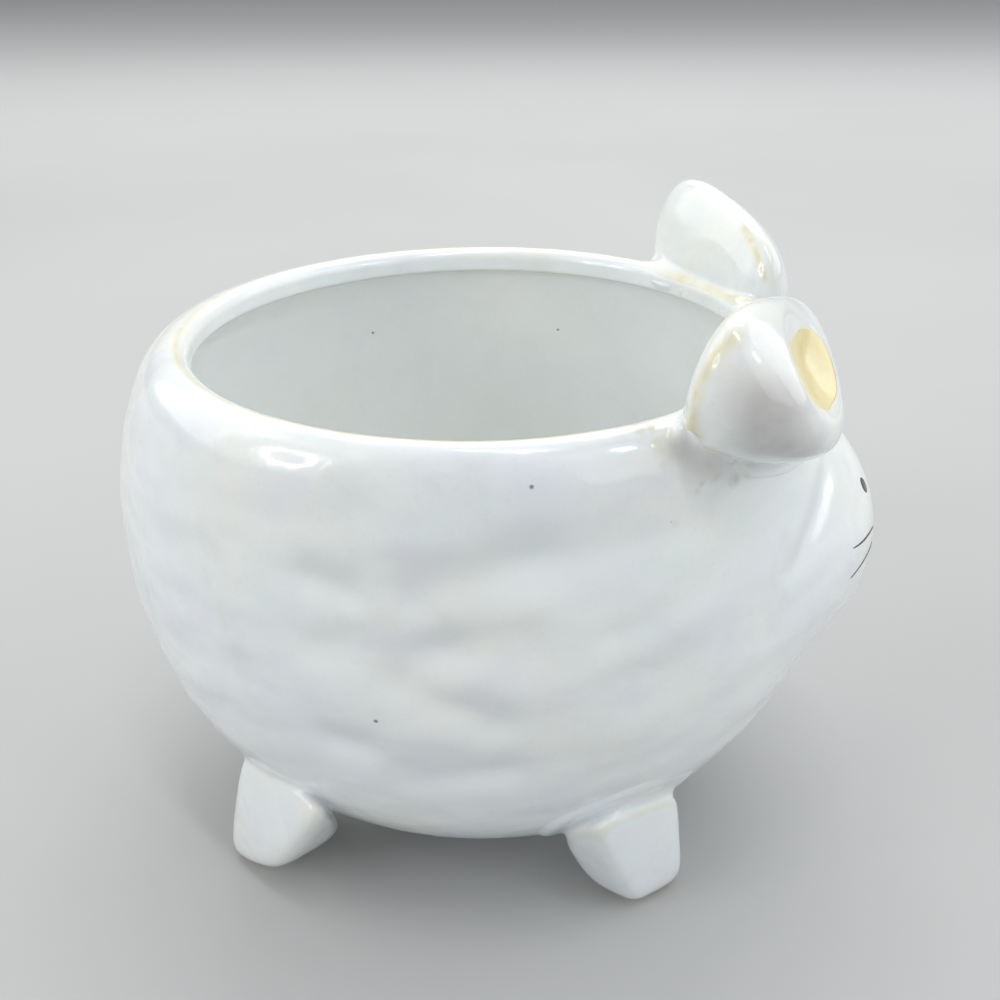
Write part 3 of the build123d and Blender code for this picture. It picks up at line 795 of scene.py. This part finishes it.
def make_layer(name, bvh, grid, height, direction, wrap, node, left=False, extra=None):
    pts, faces = layer(name, bvh, grid, height, direction, wrap)
    faces = orient(pts, faces, direction)
    if left:
        pts[:, 1] *= -1
        faces = faces[:, ::-1]
    attrs = {}
    if extra is not None:
        attrs["rim"] = np.concatenate([extra.ravel(), extra.ravel()])
    o = add_mesh(name, to_part(pts), faces, attrs)
    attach(o, "root")
    return o


def ellipse_radius(hw, hh, tilt=0.0):
    def radius(phi):
        c, s = math.cos(phi - tilt), math.sin(phi - tilt)
        return 1.0 / math.sqrt((c / hw) ** 2 + (s / hh) ** 2)
    return radius


BACK = (-1.0, 0.0, 0.0)
for left in (False, True):
    grid, rel = disc_grid((100.0, -EYE_Y, EYE_Z), (0, 1, 0), (0, 0, 1), ellipse_radius(EYE_HALF_W, EYE_HALF_H, -0.35), 9, 40)
    height = 0.13 * np.sqrt(np.clip(1 - rel ** 4, 0, 1)) - 0.012
    o = make_layer("eye_left" if left else "eye_right", BOWL_BVH, grid, height, BACK, True, None, left)
    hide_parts("left_eye" if left else "right_eye")
    dark_pieces = [o] if not left else dark_pieces + [o]


def nose_radius(phi):
    base = ellipse_radius(NOSE_HALF_W, NOSE_HALF_H)(phi)
    return base * (1.0 + 0.10 * math.cos(3 * (phi - math.pi / 2) + math.pi))


grid, rel = disc_grid((100.0, 0.0, NOSE_Z), (0, 1, 0), (0, 0, 1), nose_radius, 9, 40)
height = 0.13 * np.sqrt(np.clip(1 - rel ** 4, 0, 1)) - 0.012
o = make_layer("nose_paint", BOWL_BVH, grid, height, BACK, True, None)
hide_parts("nose")
dark_pieces.append(o)


def stroke_grid(line, width, taper, n_along=60, n_across=9, smooth_ends=True, degree=3):
    line = np.asarray(line, float)
    s = np.linspace(0, 1, len(line))
    deg = min(degree, len(line) - 1)
    co = [np.polyfit(s, line[:, k], deg) for k in (0, 1)]
    u = np.linspace(0, 1, n_along)
    p = np.stack([np.polyval(c, u) for c in co], -1)
    d = np.gradient(p, axis=0)
    d /= np.linalg.norm(d, axis=1)[:, None]
    side = np.stack([-d[:, 1], d[:, 0]], -1)
    w = 0.5 * width * (taper + (1 - taper) * np.sin(np.pi * np.clip(u * 0.9 + 0.12, 0, 1)) ** 0.7)
    w *= np.minimum(1, np.sqrt(np.clip(np.minimum(u, 1 - u) / 0.03, 0.02, 1)))
    v = np.linspace(-1, 1, n_across)
    q = p[:, None, :] + side[:, None, :] * w[:, None, None] * v[None, :, None]
    grid = np.concatenate([np.full(q.shape[:2] + (1,), 100.0), q], -1)
    rel = np.abs(np.broadcast_to(v[None, :], q.shape[:2]))
    end = np.minimum(1, np.minimum(u, 1 - u) / 0.03)[:, None]
    height = 0.10 * np.sqrt(np.clip(1 - rel ** 3, 0, 1)) * (0.3 + 0.7 * end) - 0.014
    return grid, height


def join_meshes(name, parts_list, left=False):
    pts, faces, base = [], [], 0
    for p, f in parts_list:
        pts.append(p)
        faces.append(f + base)
        base += len(p)
    pts, faces = np.concatenate(pts), np.concatenate(faces)
    if left:
        pts = pts.copy()
        pts[:, 1] *= -1
        faces = faces[:, ::-1]
    o = add_mesh(name, to_part(pts), faces)
    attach(o, "root")
    dark_pieces.append(o)
    return o


strokes = []
for line in (WHISKER_UP, WHISKER_LOW):
    grid, height = stroke_grid([(-y, z) for y, z in line], WHISKER_W, 0.35)
    p, f = layer("w", BOWL_BVH, grid, height, BACK, False)
    strokes.append((p, orient(p, f, BACK)))
o = join_meshes("whiskers_right", strokes)
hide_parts("right_whiskers")
o = join_meshes("whiskers_left", strokes, left=True)
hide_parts("left_whiskers")

m_top, m_mid = NOSE_Z - NOSE_HALF_H - 0.15, NOSE_Z - NOSE_HALF_H - MOUTH_DROP
mouth_parts = []
curl = [(MOUTH_HALF_W * u, m_mid - 1.1 * math.sin(math.pi * min(u * 1.12, 1.0)) + 1.8 * max(u - 0.75, 0))
        for u in np.linspace(0, 1, 9)]
both = [(-y, z) for y, z in curl[::-1]] + curl[1:]
grid, height = stroke_grid(both, MOUTH_LINE * 1.1, 0.5, n_along=90, degree=6)
p, f = layer("m", BOWL_BVH, grid, height, BACK, False)
mouth_parts.append((p, orient(p, f, BACK)))
grid, height = stroke_grid([(0.0, m_top), (0.0, 0.5 * (m_top + m_mid)), (0.0, m_mid - 0.1)], MOUTH_LINE, 0.7, n_along=24)
p, f = layer("m", BOWL_BVH, grid, height, BACK, False)
mouth_parts.append((p, orient(p, f, BACK)))
o = join_meshes("mouth_paint", mouth_parts)
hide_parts("mouth")

# inner ears: yellow enamel on the floor of each ear's dish
EAR_BVH = BVHTree.FromPolygons([tuple(q) for q in ear_pts.tolist()], ear_quads.tolist())
dn = np.array(DISH_N) / np.linalg.norm(DISH_N)
view_dir = np.array([-0.19, -0.92, 0.336])
dw = -(view_dir - (view_dir @ dn) * dn)
dw /= np.linalg.norm(dw)
du = np.cross(dn, dw)
level_h = (np.array(EAR_C) + dn * PATCH_LEVEL - np.array(DISH_C)) @ dn
paint_r = DISH_R * math.sqrt(max(1 - (level_h / DISH_DEPTH_R) ** 2, 0.0))


def paint_radius(phi):
    # wider towards the middle of the head, with a hand-painted wobble
    far = max(0.0, math.cos(phi - 0.3)) ** 1.5
    return paint_r * (0.90 + 0.50 * far + 0.015 * math.sin(3 * phi + 0.6) + 0.005 * math.sin(7 * phi))


grid, rel = disc_grid(np.array(DISH_C), dw, du, paint_radius, 24, 80)
height = 0.07 * np.sqrt(np.clip(1 - rel ** 8, 0, 1)) - 0.012
spokes = 2 * math.pi * np.arange(80) / 80
rel_rim = rel * (0.90 + 0.10 * np.clip(np.cos(spokes + 0.6), 0, 1))[None, :]
inner_ears = []
for left in (False, True):
    o = make_layer("ear_paint_left" if left else "ear_paint_right", EAR_BVH, grid, height, tuple(-dn), True, None,
                   left, extra=rel_rim)
    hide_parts("left_inner_ear" if left else "right_inner_ear")
    inner_ears.append(o)


# ---------------------------------------------------------------------------
# materials
# ---------------------------------------------------------------------------
# x, y, z in bowl axes, radius in mm, strength
STAINS = ((26.6, -42.6, 94.0, 1.8, 0.45), (27.9, -41.9, 94.0, 1.7, 0.50), (29.3, -43.5, 91.7, 2.0, 0.35),
          (30.7, -42.8, 91.6, 2.2, 0.45), (31.6, -42.6, 90.9, 1.6, 0.30), (35.9, -41.0, 87.2, 1.1, 0.45),
          (35.6, -41.3, 86.7, 1.0, 0.45), (35.2, -41.9, 85.8, 0.9, 0.42), (34.8, -42.5, 84.9, 0.8, 0.35),
          (37.0, -40.4, 86.3, 1.4, 0.35), (40.3, -38.1, 84.7, 1.9, 0.50), (31.9, -45.6, 81.3, 1.0, 0.28),
          (36.7, -39.2, 90.5, 0.9, 0.40))
# spots of painted shade and painted dark reflection on each ear's lower flank, and of painted shade in the hollow under
# its base
PAINTED_SHADE_SPOTS = ((40.6, -48.5, 100.0, 7.0, 0.55), (44.0, -47.8, 97.5, 7.5, 0.75), (42.5, -47.2, 94.0, 7.0, 0.60),
              (47.5, -44.5, 92.5, 6.0, 0.60), (35.5, -41.6, 89.4, 5.5, 0.55), (39.0, -39.7, 87.0, 4.5, 0.35),
              (31.9, -42.8, 91.5, 3.6, 0.40))
PINHOLES = ((12.8, -51.6, 89.3, 0.40), (-9.2, -54.1, 52.1, 0.45), (31.4, -45.8, 81.7, 0.30), (36.7, -38.6, 90.9, 0.40),
            (12.8, 48.9, 76.4, 0.42), (-26.7, 44.3, 76.5, 0.42), (-20.0, 50.6, 66.0, 0.40), (-60.0, 8.0, 70.0, 0.40))


class Nodes:
    """Small helper around a material's node tree."""

    def __init__(self, name):
        self.mat = bpy.data.materials.new(name)
        self.mat.use_nodes = True
        self.tree = self.mat.node_tree
        self.tree.nodes.clear()
        self.out = self.tree.nodes.new("ShaderNodeOutputMaterial")
        self.bsdf = self.tree.nodes.new("ShaderNodeBsdfPrincipled")
        self.tree.links.new(self.bsdf.outputs[0], self.out.inputs[0])
        tc = self.tree.nodes.new("ShaderNodeTexCoord")
        self.coord = tc.outputs["Object"]

    def link(self, a, b):
        self.tree.links.new(a, b)

    def noise(self, scale, detail=2.0, rough=0.5, distortion=0.0, coord=None, offset=None):
        n = self.tree.nodes.new("ShaderNodeTexNoise")
        n.inputs["Scale"].default_value = scale
        n.inputs["Detail"].default_value = detail
        n.inputs["Roughness"].default_value = rough
        n.inputs["Distortion"].default_value = distortion
        src = coord or self.coord
        if offset is not None:
            m = self.tree.nodes.new("ShaderNodeMapping")
            m.inputs["Location"].default_value = offset
            self.link(src, m.inputs["Vector"])
            src = m.outputs[0]
        self.link(src, n.inputs["Vector"])
        return n.outputs["Fac"]

    def voronoi(self, scale, offset=(0, 0, 0), randomness=1.0):
        v = self.tree.nodes.new("ShaderNodeTexVoronoi")
        v.inputs["Scale"].default_value = scale
        v.inputs["Randomness"].default_value = randomness
        m = self.tree.nodes.new("ShaderNodeMapping")
        m.inputs["Location"].default_value = offset
        self.link(self.coord, m.inputs["Vector"])
        self.link(m.outputs[0], v.inputs["Vector"])
        return v

    def math(self, op, a, b=None, c=None, clamp=False):
        n = self.tree.nodes.new("ShaderNodeMath")
        n.operation = op
        n.use_clamp = clamp
        for k, v in enumerate((a, b, c)):
            if v is None:
                continue
            if isinstance(v, (int, float)):
                n.inputs[k].default_value = v
            else:
                self.link(v, n.inputs[k])
        return n.outputs[0]

    def range(self, x, a, b, lo=0.0, hi=1.0, smooth=True):
        n = self.tree.nodes.new("ShaderNodeMapRange")
        n.interpolation_type = "SMOOTHSTEP" if smooth else "LINEAR"
        n.inputs["From Min"].default_value = a
        n.inputs["From Max"].default_value = b
        n.inputs["To Min"].default_value = lo
        n.inputs["To Max"].default_value = hi
        self.link(x, n.inputs["Value"])
        return n.outputs[0]

    def attr(self, name):
        n = self.tree.nodes.new("ShaderNodeAttribute")
        n.attribute_name = name
        return n.outputs["Fac"]

    def mix(self, fac, a, b, blend="MIX"):
        n = self.tree.nodes.new("ShaderNodeMix")
        n.data_type = "RGBA"
        n.blend_type = blend
        if isinstance(fac, (int, float)):
            n.inputs[0].default_value = fac
        else:
            self.link(fac, n.inputs[0])
        for sock, v in ((n.inputs[6], a), (n.inputs[7], b)):
            if isinstance(v, tuple):
                sock.default_value = v + (1.0,) if len(v) == 3 else v
            else:
                self.link(v, sock)
        return n.outputs[2]

    def spot(self, centre_mm, radius_mm, soft=0.5):
        """1 inside a ball about a point given in bowl axes, fading out at its edge."""
        m = self.tree.nodes.new("ShaderNodeVectorMath")
        m.operation = "DISTANCE"
        self.link(self.coord, m.inputs[0])
        m.inputs[1].default_value = ((centre_mm[0] - X_MID) * MM, centre_mm[1] * MM, centre_mm[2] * MM)
        return self.range(m.outputs["Value"], radius_mm * MM, radius_mm * MM * (1 - soft))

    def length(self):
        """Distance from the middle of the frame, in metres."""
        m = self.tree.nodes.new("ShaderNodeVectorMath")
        m.operation = "LENGTH"
        self.link(self.coord, m.inputs[0])
        return m.outputs["Value"]

    def bump(self, height, distance, strength=1.0, normal=None):
        n = self.tree.nodes.new("ShaderNodeBump")
        n.inputs["Strength"].default_value = strength
        n.inputs["Distance"].default_value = distance
        self.link(height, n.inputs["Height"])
        if normal is not None:
            self.link(normal, n.inputs["Normal"])
        return n.outputs[0]

    def set(self, **values):
        for key, v in values.items():
            sock = self.bsdf.inputs[key.replace("_", " ")]
            if isinstance(v, (int, float, tuple)):
                sock.default_value = v
            else:
                self.link(v, sock)


def srgb(r, g, b):
    def lin(c):
        c /= 255.0
        return c / 12.92 if c <= 0.04045 else ((c + 0.055) / 1.055) ** 2.4
    return (lin(r), lin(g), lin(b))


def make_glaze():
    m = Nodes("white_glaze")
    # broad drift from a warmer white to a cooler one, then faint lilac and mint blotches
    base = m.mix(m.range(m.noise(26.0, 2.0, 0.5, offset=(0.2, 0.6, 0.1)), 0.36, 0.66), srgb(236, 238, 234), srgb(232, 238, 241))
    base = m.mix(m.range(m.noise(95.0, 2.0, 0.5, offset=(0.3, 0.1, 0.2)), 0.50, 0.72, 0.0, 0.55), base, srgb(230, 231, 240))
    base = m.mix(m.range(m.noise(110.0, 2.0, 0.5, offset=(0.8, 0.5, 0.6)), 0.52, 0.74, 0.0, 0.50), base, srgb(226, 237, 236))
    # thin glaze lets the darker clay through a little: clouds and a fine curdled speckle
    cloud = m.noise(70.0, 4.0, 0.6, 0.5, offset=(0.7, 0.1, 0.9))
    base = m.mix(m.range(cloud, 0.50, 0.78, 0.0, 0.34), base, srgb(208, 213, 213))
    fine = m.noise(1100.0, 3.0, 0.7, 0.3)
    base = m.mix(m.range(fine, 0.50, 0.78, 0.0, 0.22), base, srgb(214, 216, 214))
    flecks = m.noise(1700.0, 2.0, 0.6, offset=(0.3, 0.3, 0.3))
    base = m.mix(m.range(flecks, 0.62, 0.80, 0.0, 0.35), base, srgb(250, 252, 252))
    # painted shade on the upper walls of the belly's dents and painted light on their lower walls, from the bowl's tilt
    base = m.mix(m.math("MULTIPLY", m.attr("painted_shade"), 0.45), base, srgb(204, 208, 210))
    base = m.mix(m.math("MULTIPLY", m.attr("painted_light"), 0.50), base, srgb(245, 249, 249))
    # inside the bowl the glaze is a touch greyer
    base = m.mix(m.math("MULTIPLY", m.attr("inside"), 0.50), base, srgb(234, 235, 231))
    # cream where the glaze breaks over edges
    breakup = m.noise(190.0, 4.0, 0.62, 0.8, offset=(0.9, 0.4, 0.1))
    edge = m.math("MULTIPLY", m.attr("edge"), m.range(breakup, 0.34, 0.58, 0.55, 1.0))
    base = m.mix(m.math("MULTIPLY", edge, 0.90), base, srgb(222, 216, 180))
    strong = m.range(m.math("MULTIPLY", edge, m.noise(420.0, 3.0, 0.6)), 0.30, 0.62, 0.0, 0.28)
    base = m.mix(strong, base, srgb(196, 182, 134))
    # painted shade and painted dark reflection on the ears' lower flanks and painted shade under their bases: a
    # grey-lilac tint at the listed spots, on both sides
    painted_shade = None
    for x, y, z, r, amount in PAINTED_SHADE_SPOTS:
        for side in (1.0, -1.0):
            one = m.math("MULTIPLY", m.spot((x, y * side, z), r, 1.0), amount)
            rest = m.math("SUBTRACT", 1.0, one)
            painted_shade = rest if painted_shade is None else m.math("MULTIPLY", painted_shade, rest)
    painted_shade = m.math("SUBTRACT", 1.0, painted_shade)
    painted_shade = m.math("MULTIPLY", painted_shade, m.range(m.noise(150.0, 3.0, 0.6, offset=(1.3, 0.2, 0.5)), 0.30, 0.62, 0.75, 1.0))
    base = m.mix(painted_shade, base, srgb(176, 169, 169))
    # brown stains where the slip joint behind the ears shows through
    stain = None
    for x, y, z, r, amount in STAINS:
        for side in (1.0, -1.0):
            one = m.math("MULTIPLY", m.spot((x, y * side, z), r, 0.9), amount)
            stain = one if stain is None else m.math("MAXIMUM", stain, one)
    stain = m.math("MULTIPLY", stain, m.range(m.noise(700.0, 3.0, 0.6), 0.34, 0.62, 0.35, 0.85))
    base = m.mix(stain, base, srgb(188, 176, 126))
    # a few pinholes where a bubble burst in the glaze
    hole = None
    for x, y, z, r in PINHOLES:
        one = m.spot((x, y, z), r, 0.7)
        hole = one if hole is None else m.math("MAXIMUM", hole, one)
    pin = m.voronoi(46.0, (0.013, 0.021, 0.007))
    more = m.range(pin.outputs["Distance"], 0.018, 0.007)
    keep = m.range(m.noise(60.0, 1.0, 0.5, offset=(2.1, 0.4, 1.3)), 0.55, 0.58)
    hole = m.math("MAXIMUM", hole, m.math("MULTIPLY", more, keep))
    base = m.mix(m.math("MULTIPLY", hole, 0.8), base, srgb(112, 104, 92))
    # bare clay on the pads of the feet
    base = m.mix(m.attr("bare"), base, m.mix(m.noise(900.0, 3.0), srgb(226, 214, 194), srgb(206, 190, 168)))
    rough = m.math("ADD", m.range(m.noise(240.0, 3.0, 0.6), 0.3, 0.7, 0.10, 0.19), m.math("MULTIPLY", m.attr("bare"), 0.6))
    rough = m.math("ADD", rough, m.math("MULTIPLY", hole, 0.3))
    # soft waves and orange-peel of a dipped glaze
    h1 = m.noise(90.0, 2.0, 0.45)
    h2 = m.noise(300.0, 2.0, 0.5, offset=(0.5, 0.2, 0.7))
    h3 = m.noise(1100.0, 2.0, 0.5)
    nb = m.bump(h1, 0.00035, 0.8)
    nb = m.bump(h2, 0.00009, 0.8, nb)
    nb = m.bump(h3, 0.000012, 0.8, nb)
    inv = m.math("SUBTRACT", 1.0, hole)
    nb = m.bump(inv, 0.0003, 0.7, nb)
    m.set(Base_Color=base, Roughness=rough, Normal=nb, IOR=1.52, Coat_Weight=0.25, Coat_Roughness=0.05)
    return m.mat


def make_yellow():
    m = Nodes("yellow_enamel")
    a, b = srgb(237, 225, 178), srgb(230, 213, 152)
    base = m.mix(m.range(m.noise(160.0, 3.0, 0.55), 0.35, 0.68), a, b)
    base = m.mix(m.range(m.noise(700.0, 3.0, 0.6), 0.5, 0.8, 0.0, 0.25), base, srgb(240, 232, 200))
    rim = m.range(m.math("ADD", m.attr("rim"), m.math("MULTIPLY", m.noise(500.0, 2.0), 0.04)), 0.955, 1.0)
    base = m.mix(m.math("MULTIPLY", rim, 0.55), base, srgb(206, 168, 140))
    rough = m.range(m.noise(300.0, 2.0), 0.3, 0.7, 0.16, 0.28)
    nb = m.bump(m.noise(260.0, 3.0, 0.5), 0.00012, 0.7)
    m.set(Base_Color=base, Roughness=rough, Normal=nb, IOR=1.5, Coat_Weight=0.3, Coat_Roughness=0.08)
    return m.mat


def make_dark():
    m = Nodes("black_enamel")
    base = m.mix(m.range(m.noise(900.0, 3.0, 0.6), 0.35, 0.75), srgb(26, 25, 27), srgb(52, 48, 46))
    rough = m.range(m.noise(700.0, 2.0), 0.3, 0.7, 0.18, 0.34)
    nb = m.bump(m.noise(800.0, 2.0), 0.00004, 0.7)
    m.set(Base_Color=base, Roughness=rough, Normal=nb, IOR=1.5, Coat_Weight=0.2, Coat_Roughness=0.1)
    return m.mat


glaze, yellow, dark = make_glaze(), make_yellow(), make_dark()
for o in [pot] + ears + rear_feet + front_feet:
    o.data.materials.append(glaze)
for o in inner_ears:
    o.data.materials.append(yellow)
for o in dark_pieces:
    o.data.materials.append(dark)

# ---------------------------------------------------------------------------
# stage, light and camera
# ---------------------------------------------------------------------------
m = Nodes("floor")
fl = m.mix(m.range(m.noise(3.0, 3.0, 0.5), 0.3, 0.7), (0.455, 0.458, 0.46), (0.48, 0.482, 0.485))
far_off = m.range(m.length(), 0.5, 1.6)
fl = m.mix(far_off, fl, (0.62, 0.625, 0.63))
m.set(Base_Color=fl, Roughness=0.8)
m.bsdf.inputs["Specular IOR Level"].default_value = 0.2
floor_mat = m.mat
s = np.linspace(-1, 1, 41)
xx, yy = np.meshgrid(s, s, indexing="ij")
fp = np.stack([np.sign(xx) * np.abs(xx) ** 2 * 12.0, np.sign(yy) * np.abs(yy) ** 2 * 12.0, np.zeros_like(xx)], -1).reshape(-1, 3)
ii, jj = np.meshgrid(np.arange(40), np.arange(40), indexing="ij")
fq = np.stack([ii * 41 + jj, (ii + 1) * 41 + jj, (ii + 1) * 41 + jj + 1, ii * 41 + jj + 1], -1).reshape(-1, 4)
floor = add_mesh("floor", fp, fq)
floor.data.materials.append(floor_mat)

world = bpy.data.worlds.new("studio")
bpy.context.scene.world = world
world.use_nodes = True
bg = world.node_tree.nodes["Background"]
bg.inputs[0].default_value = (0.90, 0.92, 0.93, 1.0)
bg.inputs[1].default_value = 0.37


def area(name, where, target, size, power, colour=(1, 1, 1), size_y=None, roll=0.0):
    l = bpy.data.lights.new(name, "AREA")
    l.shape = "RECTANGLE"
    l.size = size
    l.size_y = size_y or size
    l.energy = power
    l.color = colour
    o = bpy.data.objects.new(name, l)
    bpy.context.scene.collection.objects.link(o)
    o.location = where
    q = (Vector(target) - Vector(where)).to_track_quat("-Z", "Y")
    o.rotation_euler = (q.to_matrix() @ Matrix.Rotation(roll, 3, "Z")).to_euler()
    return o


def towards(az, el, dist, origin=(0.0, 0.0, 0.07)):
    a, e = math.radians(az), math.radians(el)
    return Vector(origin) + dist * Vector((math.cos(e) * math.cos(a), math.cos(e) * math.sin(a), math.sin(e)))


MID = Vector((0.0, 0.0, 0.06))
area("back_top", (0.0, 0.70, 1.1), MID, 1.2, 11.5, (1.0, 0.998, 0.985))
area("left_soft", towards(-154, 30, 2.6), MID, 2.1, 12.2, (1.0, 0.997, 0.975))
area("left_rear", towards(-195, 30, 2.6), MID, 2.1, 19.0, (1.0, 0.997, 0.975))
area("right_soft", towards(-32, 24, 2.6), MID, 1.9, 13.5, (0.95, 0.98, 1.0))
area("right_rear", towards(14, 28, 2.6), MID, 2.1, 23.5, (0.95, 0.98, 1.0))
# small lamps that give the crisp highlights on the shoulder and ears
A0 = Vector((0.005, -0.050, 0.093)) + 1.2 * Vector((-0.093, -0.078, 0.993))
A1 = Vector((0.005, -0.050, 0.093)) + 1.2 * Vector((0.343, -0.423, 0.839))
strip = area("strip", 0.5 * (A0 + A1), (0.005, -0.050, 0.093), 0.06, 2.2)
z_axis = (0.5 * (A0 + A1) - Vector((0.005, -0.050, 0.093))).normalized()
x_axis = (A1 - A0).normalized()
y_axis = z_axis.cross(x_axis).normalized()
x_axis = y_axis.cross(z_axis).normalized()
strip.data.size, strip.data.size_y = 0.62, 0.05
strip.rotation_euler = Matrix((x_axis, y_axis, z_axis)).transposed().to_euler()
ring_at = towards(-147, 23, 1.3, (-0.024, -0.0485, 0.091))
zr = (ring_at - Vector((-0.024, -0.0485, 0.091))).normalized()
xr = Vector((0, 0, 1)).cross(zr).normalized()
yr = zr.cross(xr)
for n in range(10):
    a = 2 * math.pi * (n + 0.5) / 10
    c = ring_at + 0.19 * (math.cos(a) * xr + math.sin(a) * yr)
    tangent = (-math.sin(a) * xr + math.cos(a) * yr)
    lamp = area("ring_%d" % n, c, MID, 0.15, 0.30)
    lamp.data.size, lamp.data.size_y = 0.125, 0.045
    lamp.rotation_euler = Matrix((tangent, zr.cross(tangent), zr)).transposed().to_euler()
area("right_small", towards(-30, 33, 1.3, (0.0208, -0.0458, 0.0922)), (0.0208, -0.0458, 0.0922), 0.16, 0.7, size_y=0.16)

cam_data = bpy.data.cameras.new("camera")
cam_data.sensor_fit = "HORIZONTAL"
cam_data.sensor_width = 36.0
cam_data.lens = 1080.0 / 1000.0 * 36.0
cam_data.clip_start = 0.01
cam_data.clip_end = 50.0
cam = bpy.data.objects.new("camera", cam_data)
bpy.context.scene.collection.objects.link(cam)
pitch, yaw, roll = 0.4815, 0.0867, 0.0082
fwd = Vector((-math.sin(yaw) * math.cos(pitch), math.cos(yaw) * math.cos(pitch), -math.sin(pitch)))
rt = Vector((math.cos(yaw), math.sin(yaw), 0.0))
down = fwd.cross(rt)
right = math.cos(roll) * rt + math.sin(roll) * down
dwn = -math.sin(roll) * rt + math.cos(roll) * down
up, back = -dwn, -fwd
cam.matrix_world = Matrix((
    (right.x, up.x, back.x, (19.416 - X_MID) * MM),
    (right.y, up.y, back.y, -174.632 * MM),
    (right.z, up.z, back.z, 151.849 * MM),
    (0, 0, 0, 1)))
bpy.context.scene.camera = cam
bpy.context.scene.view_settings.view_transform = "Standard"
